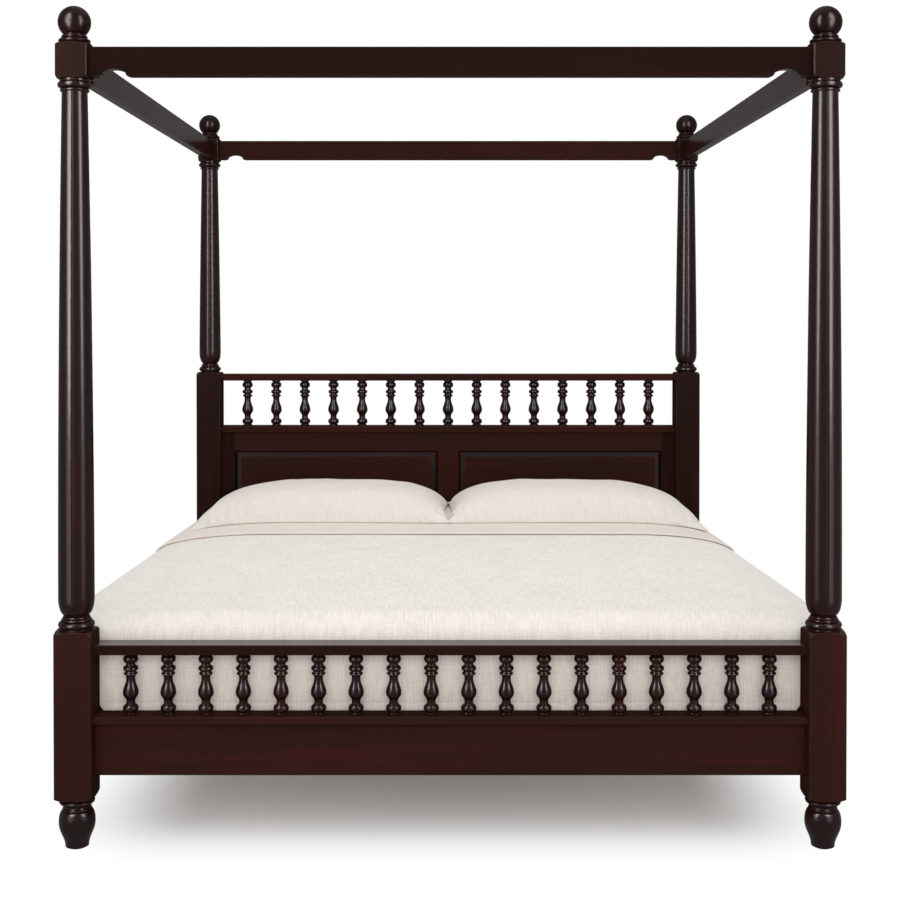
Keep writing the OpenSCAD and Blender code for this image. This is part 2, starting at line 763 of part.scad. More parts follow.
module slats() {
    half_l = side_rail_x - slat_gap;
    first_y = -clear_y + ledge_end_gap + slat_w / 2;
    pitch = -2 * first_y / (slat_count - 1);
    color(bare_wood) for (i = [0:slat_count - 1])
        translate([-half_l, first_y + i * pitch - slat_w / 2, ledge_top])
            cube([2 * half_l, slat_w, slat_t]);
}

beam_z = ledge_top - beam_h;
beam_y0 = -post_y + board_t + hanger_t + hanger_gap;
beam_y1 = frame_y - hanger_t - hanger_gap;

// Y of centre leg i
function leg_y(i) = beam_y0 + (beam_y1 - beam_y0) * (i + 1) / (leg_count + 1);

module centre_beam() {
    color(wood) difference() {
        span([-beam_w / 2, beam_y0, beam_z], [beam_w / 2, beam_y1, ledge_top]);
        for (i = [0:leg_count - 1])
            translate([0, leg_y(i), beam_z - cut]) cylinder(r = dowel_r + wood_gap, h = dowel_l + 2 * cut);
    }
}

// Steel hanger for one end of the beam, drawn against the plane y = 0 and reaching to +Y
module beam_hanger() {
    inner = beam_w / 2 + hanger_gap;
    outer = inner + hanger_t;
    top = ledge_top - beam_h * 0.1;
    difference() {
        union() {
            span([-outer, 0, beam_z - hanger_t], [outer, hanger_l, top]);
            span([-outer - hanger_flange, 0, beam_z - hanger_t], [outer + hanger_flange, hanger_t, top]);
        }
        span([-inner, hanger_t, beam_z], [inner, hanger_l + cut, top + cut]);
    }
}

module beam_hangers() {
    color(steel) {
        translate([0, -post_y + board_t, 0]) beam_hanger();
        translate([0, frame_y, 0]) mirror([0, 1, 0]) beam_hanger();
    }
}

module centre_legs() {
    color(wood) for (i = [0:leg_count - 1]) translate([0, leg_y(i), 0]) difference() {
        union() {
            translate([0, 0, leg_glide_h]) linear_extrude(beam_z - leg_glide_h) eased_square(leg_w);
            translate([0, 0, beam_z - cut]) cylinder(r = dowel_r, h = dowel_l + cut);
        }
        translate([0, 0, leg_glide_h - cut]) cylinder(r = nail_r + wood_gap, h = nail_l + 2 * cut);
    }
}

module centre_leg_glides() {
    color(plastic) for (i = [0:leg_count - 1]) translate([0, leg_y(i), 0]) union() {
        cylinder(r = leg_glide_r, h = leg_glide_h);
        cylinder(r = nail_r, h = leg_glide_h + nail_l);
    }
}

// Bedding

module mattress() {
    corner = 60;
    edge = 20;
    half_w = mattress_w / 2;
    corner_x = [corner - half_w, half_w - corner];
    corner_y = [mattress_y0 + corner, mattress_y1 - corner];
    color(white_cloth) hull() for (x = corner_x, y = corner_y) {
        translate([x, y, deck_z + edge]) cylinder(r = corner, h = mattress_t - 2 * edge, $fn = 32);
        translate([x, y, deck_z]) cylinder(r = corner - edge, h = mattress_t, $fn = 32);
    }
}

// Cloth that lies on the mattress and hangs at both sides, and at the foot if it has a foot drop.
// The grid has the same lines for every layer, so that one layer lies evenly on another.
roll_h = 85;           // height of the rounded edge between the top and the hanging cloth
flare = 8;             // how much further out the hem hangs
top_cells = 10;        // grid cells across the top
roll_cells = 4;        // and over each rounded edge
hang_cells = 3;        // and down each side
foot_cells = 5;
low_cells = 12;        // cells from the foot to the sheet's fold
high_cells = 6;        // cells from there to the head
cloth_y1 = clear_y - 12;
fold_y = cloth_y1 - sheet_l;
foot_roll = 14;        // how far the cloth stands out over the mattress's foot end

// Folds of the hanging cloth: how far it stands out at y, from -1 to 1
function fold_wave(y) = 0.6 * sin(y * 360 / 560 + 40) + 0.4 * sin(y * 360 / 310 + 110);

// Edge of a layer, as [outwards, down], at step k of cells: a rounded edge of radius r, then a straight fall.
// inset is how far the surface lies inside the outermost layer, and grow is how far that layer stands off.
function edge_point(k, rolls, falls, r, h, drop, inset) =
    k <= rolls
        ? let (a = 90 * k / rolls) [(r - inset) * sin(a), h - (h - inset) * cos(a)]
        : [r - inset, h + (drop - h) * (k - rolls) / falls];

// Grid line j across the bed, as [x, down, share of the fall], of a layer with side_cells cells past
// each side of the top
function across(j, inset, side_cells) =
    let (k = max(side_cells - j, j - side_cells - top_cells, 0),
         side = j < side_cells + top_cells / 2 ? -1 : 1,
         e = edge_point(k, roll_cells, hang_cells, cover_roll, roll_h, side_drop, inset))
    k == 0 ? [mattress_w * ((j - side_cells) / top_cells - 0.5), inset, 0]
           : [side * (mattress_w / 2 + e[0]), e[1], max(0, (e[1] - roll_h) / (side_drop - roll_h))];

// Grid line i along the bed, as [y, down]; lines below zero hang at the foot
foot_roll_cells = 2;
function along(i, inset) =
    i < 0 ? foot_edge(edge_point(-i, foot_roll_cells, foot_cells - foot_roll_cells, foot_roll, roll_h,
            foot_drop, inset))
    : i <= low_cells ? [mattress_y0 + (fold_y - mattress_y0) * i / low_cells, inset]
    : [fold_y + (cloth_y1 - fold_y) * (i - low_cells) / high_cells, inset];

function foot_edge(e) = [mattress_y0 - e[0], e[1]];

fold_shift = 170;      // how far the folds of one side lie from the same folds of the other
function cloth_point(i, j, inset, side_cells) =
    let (c = across(j, inset, side_cells), r = along(i, inset), side = c[0] < 0 ? -1 : 1,
         stand_out = flare + fold_depth * fold_wave(r[0] + fold_shift * side))
    [c[0] + side * c[2] * stand_out, r[0], cover_top - max(c[1], r[1])];

// Whether a cloth of these rows and columns has this cell. At the foot, which only hangs between the
// posts, the cells past the sides of the top are left out.
function has_cell(i, j, first, rows, side_cells) =
    i >= 0 && i < rows && j >= 0 && j < top_cells + 2 * side_cells
    && (i + first >= 0 || (j >= side_cells && j < side_cells + top_cells));

// The two triangles of a four-sided face, split from a to c
function quad(a, b, c, d) = [[a, b, c], [a, c, d]];

// Closed solid of cloth from grid row first to row last. outer and inner are the insets of its skins.
module cloth(first, last, side_cells, outer, inner) {
    columns = top_cells + 2 * side_cells;
    rows = last - first;
    count = (rows + 1) * (columns + 1);
    points = [for (inset = [outer, inner], i = [first:last], j = [0:columns])
        cloth_point(i, j, inset, side_cells)];
    cells = [for (i = [0:rows - 1], j = [0:columns - 1])
        if (has_cell(i, j, first, rows, side_cells)) [i, j]];
    function at(p, skin) = skin * count + p[0] * (columns + 1) + p[1];
    skins = [for (c = cells) let (a = c, b = c + [1, 0], o = c + [1, 1], d = c + [0, 1]) each concat(
        quad(at(a, 0), at(b, 0), at(o, 0), at(d, 0)), quad(at(a, 1), at(d, 1), at(o, 1), at(b, 1)))];
    // A cell's edges as [step to the neighbour, start, end], for the walls along the cloth's border
    sides = [[[-1, 0], [0, 0], [0, 1]], [[1, 0], [1, 1], [1, 0]],
        [[0, -1], [1, 0], [0, 0]], [[0, 1], [0, 1], [1, 1]]];
    walls = [for (c = cells, e = sides)
        let (next = c + e[0], a = c + e[1], b = c + e[2])
        if (!has_cell(next[0], next[1], first, rows, side_cells))
            each quad(at(a, 0), at(b, 0), at(b, 1), at(a, 1))];
    polyhedron(points, concat(skins, walls), convexity = 6);
}

module coverlet() {
    color(cream) cloth(-foot_cells, low_cells + high_cells, roll_cells + hang_cells, 0, cover_t);
}

// The sheet hangs a cell less than the coverlet under it
module sheet_turndown() {
    color(white_cloth) cloth(low_cells, low_cells + high_cells, roll_cells + hang_cells - 1,
        -cloth_gap - sheet_t, -cloth_gap);
}

// Pillow with a high crown, an edge that runs out to a seam and sides drawn in between its corners
pillow_gap = 3;        // from the bed's middle to a pillow
pillow_y1 = clear_y - 6;
pillow_base = sheet_top + 0.3;
module pillow() {
    nx = 22;
    ny = 14;
    seam = pillow_h * 0.12;
    draw_x = 0.03;
    draw_y = 0.06;
    // Grid lines lie closer together towards the seam
    function near_edge(t) = sin(90 * t);
    function point(u, v, top) =
        let (full = pow((1 - pow(abs(u), 3.2)) * (1 - pow(abs(v), 2.8)), 0.55),
             lift = top ? (pillow_h - seam) * full * (1 + 0.12 * v * full) : -seam * min(1, 1.6 * full))
        [pillow_w / 2 * u * (1 - draw_x * (1 - v * v) * abs(u)),
         pillow_l / 2 * v * (1 - draw_y * (1 - u * u) * abs(v)), seam + lift];
    function at(i, j) = i * (ny + 1) + j;
    count = (nx + 1) * (ny + 1);
    function on_seam(i, j) = i == 0 || i == nx || j == 0 || j == ny;
    // The lower skin shares the seam's points with the upper one
    function under(i, j) = at(i, j) + (on_seam(i, j) ? 0 : count);
    points = [for (top = [true, false], i = [0:nx], j = [0:ny])
        point(near_edge(2 * i / nx - 1), near_edge(2 * j / ny - 1), top)];
    // A cell's corners, clockwise from above. They start where the cell's diagonal does, which runs
    // towards the nearest corner of the pillow, so that the two skins never share a triangle.
    function cell(i, j) =
        (i < nx / 2) == (j < ny / 2) ? [[i, j], [i, j + 1], [i + 1, j + 1], [i + 1, j]]
                                     : [[i + 1, j], [i, j], [i, j + 1], [i + 1, j + 1]];
    faces = [for (i = [0:nx - 1], j = [0:ny - 1])
        let (upper = [for (p = cell(i, j)) at(p[0], p[1])],
             lower = [for (p = cell(i, j)) under(p[0], p[1])])
        each concat(quad(upper[0], upper[1], upper[2], upper[3]),
            quad(lower[0], lower[3], lower[2], lower[1]))];
    color(cream) polyhedron(points, faces, convexity = 4);
}

module pillow_left() {
    translate([-pillow_gap - pillow_w / 2, pillow_y1 - pillow_l / 2, pillow_base]) pillow();
}

module pillow_right() {
    translate([pillow_gap + pillow_w / 2, pillow_y1 - pillow_l / 2, pillow_base]) pillow();
}

foot_post_base_left();
foot_post_base_right();
head_post_base_left();
head_post_base_right();
foot_post_shaft_left();
foot_post_shaft_right();
head_post_shaft_left();
head_post_shaft_right();
finial_foot_left();
finial_foot_right();
finial_head_left();
finial_head_right();
post_studs();
foot_glides();
canopy_rail_foot();
canopy_rail_head();
canopy_rail_left();
canopy_rail_right();
footboard_cap_rail();
footboard_shelf_rail();
footboard_spindles();
footboard_board();
headboard_top_rail();
headboard_spindles();
headboard_middle_rail();
headboard_frame_top();
headboard_frame_bottom();
headboard_stile_left();
headboard_stile_right();
headboard_muntin();
headboard_panel_left();
headboard_panel_right();
headboard_stretcher();
side_rail_left();
side_rail_right();
rail_hook_plates();
post_slot_plates();
slat_ledge_left();
slat_ledge_right();
slats();
centre_beam();
beam_hangers();
centre_legs();
centre_leg_glides();
mattress();
coverlet();
sheet_turndown();
pillow_left();
pillow_right();
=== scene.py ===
import math

import bpy
import numpy as np
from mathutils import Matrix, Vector, noise


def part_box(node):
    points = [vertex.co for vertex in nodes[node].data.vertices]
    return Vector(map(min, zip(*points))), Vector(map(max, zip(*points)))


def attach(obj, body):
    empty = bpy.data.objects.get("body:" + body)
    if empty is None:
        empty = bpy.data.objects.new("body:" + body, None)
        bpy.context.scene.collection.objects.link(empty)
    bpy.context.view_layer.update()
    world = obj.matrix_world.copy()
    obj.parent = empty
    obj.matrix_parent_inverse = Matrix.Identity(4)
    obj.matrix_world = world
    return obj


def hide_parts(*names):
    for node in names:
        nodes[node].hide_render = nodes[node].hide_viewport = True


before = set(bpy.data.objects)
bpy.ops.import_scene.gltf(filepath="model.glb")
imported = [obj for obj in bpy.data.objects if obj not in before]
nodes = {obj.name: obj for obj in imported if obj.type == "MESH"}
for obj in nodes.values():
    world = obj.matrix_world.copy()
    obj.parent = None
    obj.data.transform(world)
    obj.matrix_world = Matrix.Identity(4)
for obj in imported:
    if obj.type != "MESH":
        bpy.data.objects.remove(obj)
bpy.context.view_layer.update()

# Camera, on the bed's centre line in front of the footboard, at standing eye height. The lens shift
# puts the horizon above the middle of the picture while the posts stay upright.
CAMERA_PLACE = (-0.014, -4.62, 1.402)
CAMERA_TILT_DOWN = 0.77
lens = bpy.data.cameras.new("camera")
lens.sensor_width = 36
lens.lens = 55.74
lens.shift_x = 0.006
lens.shift_y = -0.141
camera = bpy.data.objects.new("camera", lens)
camera.location = CAMERA_PLACE
camera.rotation_euler = (math.radians(90 - CAMERA_TILT_DOWN), 0, 0)
bpy.context.scene.collection.objects.link(camera)
bpy.context.scene.camera = camera
bpy.context.scene.view_settings.view_transform = "Standard"


# Studio: a white paper floor in a white room, with a soft lamp overhead and one over the camera. The room
# is white where it is looked at, also in gloss and glass, and lights the bed evenly.
def colour(code):
    """An sRGB hex value as linear red, green, blue and alpha."""
    parts = [int(code[i:i + 2], 16) / 255 for i in (1, 3, 5)]
    return [c / 12.92 if c <= 0.04045 else ((c + 0.055) / 1.055) ** 2.4 for c in parts] + [1.0]


def wire(node, sockets):
    """Gives a shader node's inputs, by identifier, a value or the node or socket that feeds them."""
    inputs = {socket.identifier: socket for socket in node.inputs}
    for name, value in dict(sockets).items():
        if isinstance(value, bpy.types.Node):
            value = next(socket for socket in value.outputs if socket.enabled)
        if isinstance(value, bpy.types.NodeSocket):
            node.id_data.links.new(value, inputs[name])
        else:
            inputs[name].default_value = value


def add(tree, kind, sockets=(), **settings):
    """Adds a shader node with these settings and inputs."""
    made = tree.nodes.new("ShaderNode" + kind)
    for setting, value in settings.items():
        setattr(made, setting, value)
    wire(made, sockets)
    return made


def looked_at(tree):
    """1 for the rays that show the background: the camera's own, and those it sends on in gloss or glass."""
    rays = add(tree, "LightPath").outputs
    direct = add(tree, "Math", {"Value": rays["Is Camera Ray"], "Value_001": rays["Is Glossy Ray"]},
                 operation="MAXIMUM")
    return add(tree, "Math", {"Value": direct, "Value_001": rays["Is Transmission Ray"]}, operation="MAXIMUM")


ROOM_LIGHT = colour("#d4d4d4")
WHITE = colour("#ffffff")
world = bpy.data.worlds.new("white_room")
world.use_nodes = True
room = world.node_tree
room.nodes.clear()
white = add(room, "Mix", {"Factor_Float": looked_at(room), "A_Color": ROOM_LIGHT, "B_Color": WHITE},
            data_type="RGBA")
add(room, "OutputWorld", {"Surface": add(room, "Background", {"Color": white})})
bpy.context.scene.world = world

# The paper shows the shadow under the bed, which fades out from the footprint's inner part, and further
# out it is plain white
FLOOR_HALF = 60
FOOTPRINT = (0.68, 0.77, 0.0)
SHADE_ENDS = 0.43
PAPER_GLOW = 0.12
PAPER_TONE = colour("#dadada")
paper = bpy.data.materials.new("white_paper")
paper.use_nodes = True
tree = paper.node_tree
tree.nodes.clear()
seen = looked_at(tree)
place = add(tree, "NewGeometry").outputs["Position"]
from_middle = add(tree, "VectorMath", {"Vector": place}, operation="ABSOLUTE")
beyond = add(tree, "VectorMath", {"Vector": from_middle, "Vector_001": FOOTPRINT}, operation="SUBTRACT")
beyond = add(tree, "VectorMath", {"Vector": beyond, "Vector_001": (0, 0, 0)}, operation="MAXIMUM")
far = add(tree, "VectorMath", {"Vector": beyond}, operation="LENGTH").outputs["Value"]
outside = add(tree, "MapRange", {"Value": far, "From Min": 0.0, "From Max": SHADE_ENDS,
                                 "To Min": PAPER_GLOW}, interpolation_type="SMOOTHSTEP")
plain = add(tree, "Math", {"Value": outside, "Value_001": seen}, operation="MULTIPLY")
tone = add(tree, "Mix", {"Factor_Float": seen, "A_Color": PAPER_TONE, "B_Color": WHITE}, data_type="RGBA")
lit_paper = add(tree, "MixShader", {"Fac": plain, "Shader": add(tree, "BsdfDiffuse", {"Color": tone}),
                                    "Shader_001": add(tree, "Emission")})
add(tree, "OutputMaterial", {"Surface": lit_paper})
floor_mesh = bpy.data.meshes.new("floor")
floor_mesh.from_pydata([(x * FLOOR_HALF, y * FLOOR_HALF, 0) for x, y in ((-1, -1), (1, -1), (1, 1), (-1, 1))],
                       [], [(0, 1, 2, 3)])
floor = bpy.data.objects.new("floor", floor_mesh)
floor.data.materials.append(paper)
bpy.context.scene.collection.objects.link(floor)


def softbox(name, shape, place, target, size, watts):
    """A lamp of this shape, width and height at place, that faces target."""
    lamp = bpy.data.lights.new(name, "AREA")
    lamp.shape = shape
    lamp.size, lamp.size_y = size
    lamp.energy = watts
    made = bpy.data.objects.new(name, lamp)
    made.location = place
    made.rotation_euler = (Vector(target) - Vector(place)).to_track_quat("-Z", "Y").to_euler()
    made.visible_camera = False
    bpy.context.scene.collection.objects.link(made)
    return made


softbox("overhead", "RECTANGLE", (0, -0.2, 4.4), (0, 0, 0.6), (3.4, 3.4), 54)
over_camera = softbox("over_camera", "RECTANGLE", (0, -5.2, 2.0), (0, -0.8, 0.6), (3.0, 2.0), 80)
over_camera.visible_glossy = False
# Two tall oval boxes to the front left and right draw the pale streaks down the turned posts. They end at
# chest height over two dim low ones, so that the streaks fade down the shafts. They show in gloss only,
# and only on the posts, finials and spindles.
TURNED_WORDS = ("finial", "spindles", "_post_base_", "_post_shaft_")
BOX_OUT, BOX_Y = 1.82, -2.61
AIM_OUT, AIM_Y = 0.4, -0.6
turned_work = bpy.data.collections.new("turned_work")
for name in nodes:
    if any(word in name for word in TURNED_WORDS):
        turned_work.objects.link(nodes[name])
for name, side, height, size, watts in (
        ("box_left", -1, 2.88, (1.2, 3.8), 560), ("box_right", 1, 2.88, (1.2, 3.8), 440),
        ("low_box_left", -1, 0.6, (1.2, 1.7), 33), ("low_box_right", 1, 0.6, (1.2, 1.7), 27)):
    box = softbox(name, "ELLIPSE", (BOX_OUT * side, BOX_Y, height), (AIM_OUT * side, AIM_Y, height),
                  size, watts)
    box.visible_diffuse = False
    box.visible_transmission = False
    box.light_linking.receiver_collection = turned_work


# Posts: mahogany turned and squared on the lathe, stained espresso and sprayed with satin lacquer. The
# grain runs up the post. Along the arrises a lighter, redder tone is painted, partly stain rubbed thin there
# and partly a painted highlight on the lit edges. The loose finials have a thinner coat.
MM = 0.001
PORE_MM = (1.8, 30)      # across the grain and along it, as are the next two
FIBRE_MM = (6, 260)
FIGURE_MM = (60, 700)
PORE_DEPTH_MM = 0.1
ARRIS_MM = 2.0
ARRIS_WEAR_AND_HIGHLIGHT = 0.55       # how much lighter and redder an arris is: rubbed stain and a painted edge highlight
SQUARE_FROM = 0.9985     # a normal this near to an axis starts to count as a flat face
SQUARE_TO = 0.9998
OPEN_GRAIN = (0.42, 0.6)
LACQUER_ROUGHNESS = 0.23
LACQUER_IOR = 1.5
FLAT_STAIN = (colour("#271713"), colour("#321c17"), colour("#421c1a"))
DEEP_STAIN = (colour("#1c110f"), colour("#261613"), colour("#361a17"))
TURNED_STAIN = (colour("#140806"), colour("#1b0b09"), colour("#300f0d"))
FLAT_LACQUER = 0.03
TURNED_LACQUER = 0.2
# The arris tone: stain rubbed thin and a painted highlight on the lit edges
RUBBED_AND_LIT_EDGE = colour("#54312a")


def stained_mahogany(name, along, redness, stain=FLAT_STAIN, lacquer=FLAT_LACQUER, turned=TURNED_LACQUER,
                     top=None):
    """Espresso-stained mahogany whose grain runs along axis 0, 1 or 2. The stain lies as a dark tone in
    the soft grain, a browner one on the hard grain and reddish patches. The pores are drawn several
    times their real width, so that they show. Flat faces are rubbed down between coats, so the stain is
    lighter there than on turned work and the lacquer shines less: lacquer says how much it shines on flat
    faces, turned on round and sloping ones, and top on the upper face of a rail that hands rest on."""
    made = bpy.data.materials.new(name)
    made.use_nodes = True
    tree = made.node_tree
    place = add(tree, "TexCoord").outputs["Object"]
    facing = add(tree, "NewGeometry").outputs["Normal"]
    sides = add(tree, "SeparateXYZ", {"Vector": add(tree, "VectorMath", {"Vector": facing},
                                                    operation="ABSOLUTE")})
    squarest = add(tree, "Math", {"Value": sides.outputs["X"], "Value_001": sides.outputs["Y"]},
                   operation="MAXIMUM")
    squarest = add(tree, "Math", {"Value": squarest, "Value_001": sides.outputs["Z"]}, operation="MAXIMUM")
    flat = add(tree, "MapRange", {"Value": squarest, "From Min": SQUARE_FROM, "From Max": SQUARE_TO})
    dark, brown, red = (add(tree, "Mix", {"Factor_Float": flat, "A_Color": round_tone, "B_Color": flat_tone},
                            data_type="RGBA") for round_tone, flat_tone in zip(TURNED_STAIN, stain))
    shine = add(tree, "MapRange", {"Value": flat, "To Min": turned, "To Max": lacquer})
    if top:
        up = add(tree, "SeparateXYZ", {"Vector": facing}).outputs["Z"]
        shine = add(tree, "MapRange", {"Value": up, "From Min": 0.6, "From Max": 0.95, "To Min": shine,
                                       "To Max": top})

    def streaks(size_mm, detail, roughness):
        scale = [1000 / size_mm[0]] * 3
        scale[along] = 1000 / size_mm[1]
        stretched = add(tree, "Mapping", {"Vector": place, "Scale": scale})
        return add(tree, "TexNoise", {"Vector": stretched, "Scale": 1.0, "Detail": detail,
                                      "Roughness": roughness}).outputs["Fac"]

    fibre = streaks(FIBRE_MM, 3, 0.55)
    patch = add(tree, "MapRange", {"Value": streaks(FIGURE_MM, 2, 0.5), "From Min": 0.44, "From Max": 0.7,
                                   "To Max": redness})
    warm = add(tree, "Mix", {"Factor_Float": patch, "A_Color": brown, "B_Color": red}, data_type="RGBA")
    lines = add(tree, "MapRange", {"Value": fibre, "From Min": 0.3, "From Max": 0.65, "To Min": 0.5,
                                   "To Max": 0.95})
    stained = add(tree, "Mix", {"Factor_Float": lines, "A_Color": dark, "B_Color": warm}, data_type="RGBA")
    eased_normal = add(tree, "Bevel", {"Radius": ARRIS_MM * MM}, samples=4)
    turn = add(tree, "VectorMath", {"Vector": eased_normal, "Vector_001": facing},
               operation="DOT_PRODUCT").outputs["Value"]
    # Painted highlight and wear: the arrises, found from the rounded normal, take a lighter, redder tone
    arris = add(tree, "MapRange", {"Value": turn, "From Min": 0.995, "From Max": 0.93,
                                   "To Max": ARRIS_WEAR_AND_HIGHLIGHT})
    tone = add(tree, "Mix", {"Factor_Float": arris, "A_Color": stained, "B_Color": RUBBED_AND_LIT_EDGE}, data_type="RGBA")
    open_pores = add(tree, "MapRange", {"Value": streaks(PORE_MM, 2, 0.5), "From Min": 0.5, "From Max": 0.36})
    relief = add(tree, "Bump", {"Strength": 0.14, "Distance": PORE_DEPTH_MM * MM, "Height": open_pores,
                                "Normal": eased_normal}, invert=True)
    dull = add(tree, "MapRange", {"Value": fibre, "To Min": OPEN_GRAIN[0], "To Max": OPEN_GRAIN[1]})
    # Under lacquer of nearly its own index, the wood has no gloss of its own
    wire(tree.nodes["Principled BSDF"], {
        "Base Color": tone, "Roughness": dull, "Normal": relief, "Coat Normal": eased_normal, "IOR": LACQUER_IOR,
        "Specular IOR Level": 0.0, "Coat Weight": shine, "Coat Roughness": LACQUER_ROUGHNESS,
        "Coat IOR": LACQUER_IOR})
    return made


def finish_nodes(material, *names):
    """Gives CAD nodes one material."""
    for name in names:
        nodes[name].data.materials.clear()
        nodes[name].data.materials.append(material)


upright = stained_mahogany("stained_mahogany_upright", 2, 0.7, lacquer=0.015)
upright_dark = stained_mahogany("stained_mahogany_upright_dark", 2, 0.6, DEEP_STAIN, 0.006)
upright_thin_coat = stained_mahogany("stained_mahogany_thin_coat", 2, 0.6, DEEP_STAIN, 0.006, turned=0.12)
for corner in ("foot_left", "foot_right", "head_left", "head_right"):
    end, side = corner.split("_")
    finish_nodes(upright if end == "foot" else upright_dark, f"{end}_post_base_{side}")
    finish_nodes(upright_dark, f"{end}_post_shaft_{side}")
    finish_nodes(upright_thin_coat, f"finial_{corner}")

# Canopy: four plain rails with an arched notch near each end, tenoned into the posts' upper blocks.
# They are sawn along the grain from the same stained stock.
across = stained_mahogany("stained_mahogany_across", 0, 0.5, DEEP_STAIN)
across_even = stained_mahogany("stained_mahogany_across_even", 0, 0.5, turned=0.1)
lengthwise = stained_mahogany("stained_mahogany_lengthwise", 1, 0.5, DEEP_STAIN, 0.15)
finish_nodes(across, "canopy_rail_foot")
finish_nodes(across_even, "canopy_rail_head")
finish_nodes(lengthwise, "canopy_rail_left", "canopy_rail_right")

# Footboard: a cap rail and a shelf rail with turned spindles pinned between them, over a plain board.
# The board and the shelf took the stain a little redder, and hands have polished the cap.
across_red = stained_mahogany("stained_mahogany_across_red", 0, 0.95)
across_polished = stained_mahogany("stained_mahogany_across_polished", 0, 0.6, DEEP_STAIN, top=0.95)
finish_nodes(across_polished, "footboard_cap_rail")
finish_nodes(across_red, "footboard_shelf_rail", "footboard_board")
finish_nodes(upright, "footboard_spindles")

# Headboard: two rails with spindles between them over a frame that holds two raised and fielded panels.
# The rails and the muntin are the redder pieces here. The panels are lacquered while they are loose, so
# their bevels shine more than the frame's mouldings.
panel_wood = stained_mahogany("stained_mahogany_panel", 0, 0.5, turned=0.45)
finish_nodes(across_red, "headboard_top_rail", "headboard_middle_rail")
finish_nodes(across_even, "headboard_frame_top", "headboard_frame_bottom", "headboard_stretcher")
finish_nodes(panel_wood, "headboard_panel_left", "headboard_panel_right")
finish_nodes(upright_dark, "headboard_spindles", "headboard_stile_left", "headboard_stile_right")
finish_nodes(upright, "headboard_muntin")

# Side rails, slat ledges, centre beam and legs: boards on edge that hang between the posts on hook
# fittings, with the ledges glued to their inner faces. All are the same stained wood.
lengthwise_red = stained_mahogany("stained_mahogany_lengthwise_red", 1, 0.8)
finish_nodes(lengthwise_red, "side_rail_left", "side_rail_right")
finish_nodes(lengthwise, "slat_ledge_left", "slat_ledge_right", "centre_beam")
finish_nodes(upright, "centre_legs")

# Fittings: pressed plates, hooks and hangers in zinc-plated steel, and the studs that join the posts.
# Zinc plate is bluish grey, with a faint bloom that dulls it in patches.
BLOOM_MM = 14
BLOOM_ROUGHNESS = (0.28, 0.48)
zinc = bpy.data.materials.new("zinc_plated_steel")
zinc.use_nodes = True
tree = zinc.node_tree
bloom = add(tree, "TexNoise", {"Vector": add(tree, "TexCoord").outputs["Object"], "Scale": 1000 / BLOOM_MM,
                               "Detail": 3.0})
plate_tone = add(tree, "Mix", {"Factor_Float": bloom, "A_Color": colour("#8a8e91"),
                               "B_Color": colour("#c0c3c5")}, data_type="RGBA")
dulled = add(tree, "MapRange", {"Value": bloom, "To Min": BLOOM_ROUGHNESS[0], "To Max": BLOOM_ROUGHNESS[1]})
wire(tree.nodes["Principled BSDF"], {"Metallic": 1.0, "Base Color": plate_tone, "Roughness": dulled})
finish_nodes(zinc, "rail_hook_plates", "post_slot_plates", "beam_hangers", "post_studs")

# Slats: planed pine boards laid across the ledges, left without stain or lacquer. Pine shows straight
# darker lines of late wood a few millimetres apart.
LATE_WOOD_MM = (800, 5.5, 5.5)
PLANED_DEPTH_MM = 0.2
PINE_ROUGHNESS = 0.62
pine = bpy.data.materials.new("planed_pine")
pine.use_nodes = True
tree = pine.node_tree
board = add(tree, "Mapping", {"Vector": add(tree, "TexCoord").outputs["Object"],
                              "Scale": [1000 / size for size in LATE_WOOD_MM]})
rings = add(tree, "TexNoise", {"Vector": board, "Scale": 1.0, "Detail": 4.0, "Roughness": 0.55})
late = add(tree, "MapRange", {"Value": rings, "From Min": 0.32, "From Max": 0.6})
pine_tone = add(tree, "Mix", {"Factor_Float": late, "A_Color": colour("#a97c4c"),
                              "B_Color": colour("#d3ae7c")}, data_type="RGBA")
planed = add(tree, "Bump", {"Strength": 0.3, "Distance": PLANED_DEPTH_MM * MM, "Height": rings})
wire(tree.nodes["Principled BSDF"], {"Base Color": pine_tone, "Normal": planed, "Roughness": PINE_ROUGHNESS})
finish_nodes(pine, "slats")

# Glides: nail-on discs moulded in black polypropylene under the posts and the centre legs. The mould
# leaves a fine even grain that breaks up the shine.
SPARK_MM = 0.9
SPARK_DEPTH_MM = 0.1
MOULDED_ROUGHNESS = (0.42, 0.6)
polypropylene = bpy.data.materials.new("moulded_polypropylene")
polypropylene.use_nodes = True
tree = polypropylene.node_tree
spark = add(tree, "TexNoise", {"Vector": add(tree, "TexCoord").outputs["Object"], "Scale": 1000 / SPARK_MM,
                               "Detail": 2.0})
moulded = add(tree, "MapRange", {"Value": spark, "To Min": MOULDED_ROUGHNESS[0],
                                 "To Max": MOULDED_ROUGHNESS[1]})
grained = add(tree, "Bump", {"Strength": 0.25, "Distance": SPARK_DEPTH_MM * MM, "Height": spark})
wire(tree.nodes["Principled BSDF"], {"Base Color": colour("#1b1b1d"), "Roughness": moulded,
                                     "Normal": grained})
finish_nodes(polypropylene, "foot_glides", "centre_leg_glides")


# Mattress: a foam and spring core in a woven ticking cover, tape-edged round the top and the bottom. Its
# top falls away gently towards the long sides, where it has softened.
def piece(name, points, faces, material, body):
    """A smooth mesh that rides on a body and takes the material it is given."""
    mesh = bpy.data.meshes.new(name)
    mesh.from_pydata([tuple(p) for p in points], [], faces)
    mesh.polygons.foreach_set("use_smooth", [True] * len(mesh.polygons))
    mesh.materials.append(material)
    made = bpy.data.objects.new(name, mesh)
    bpy.context.scene.collection.objects.link(made)
    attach(made, body)
    return made


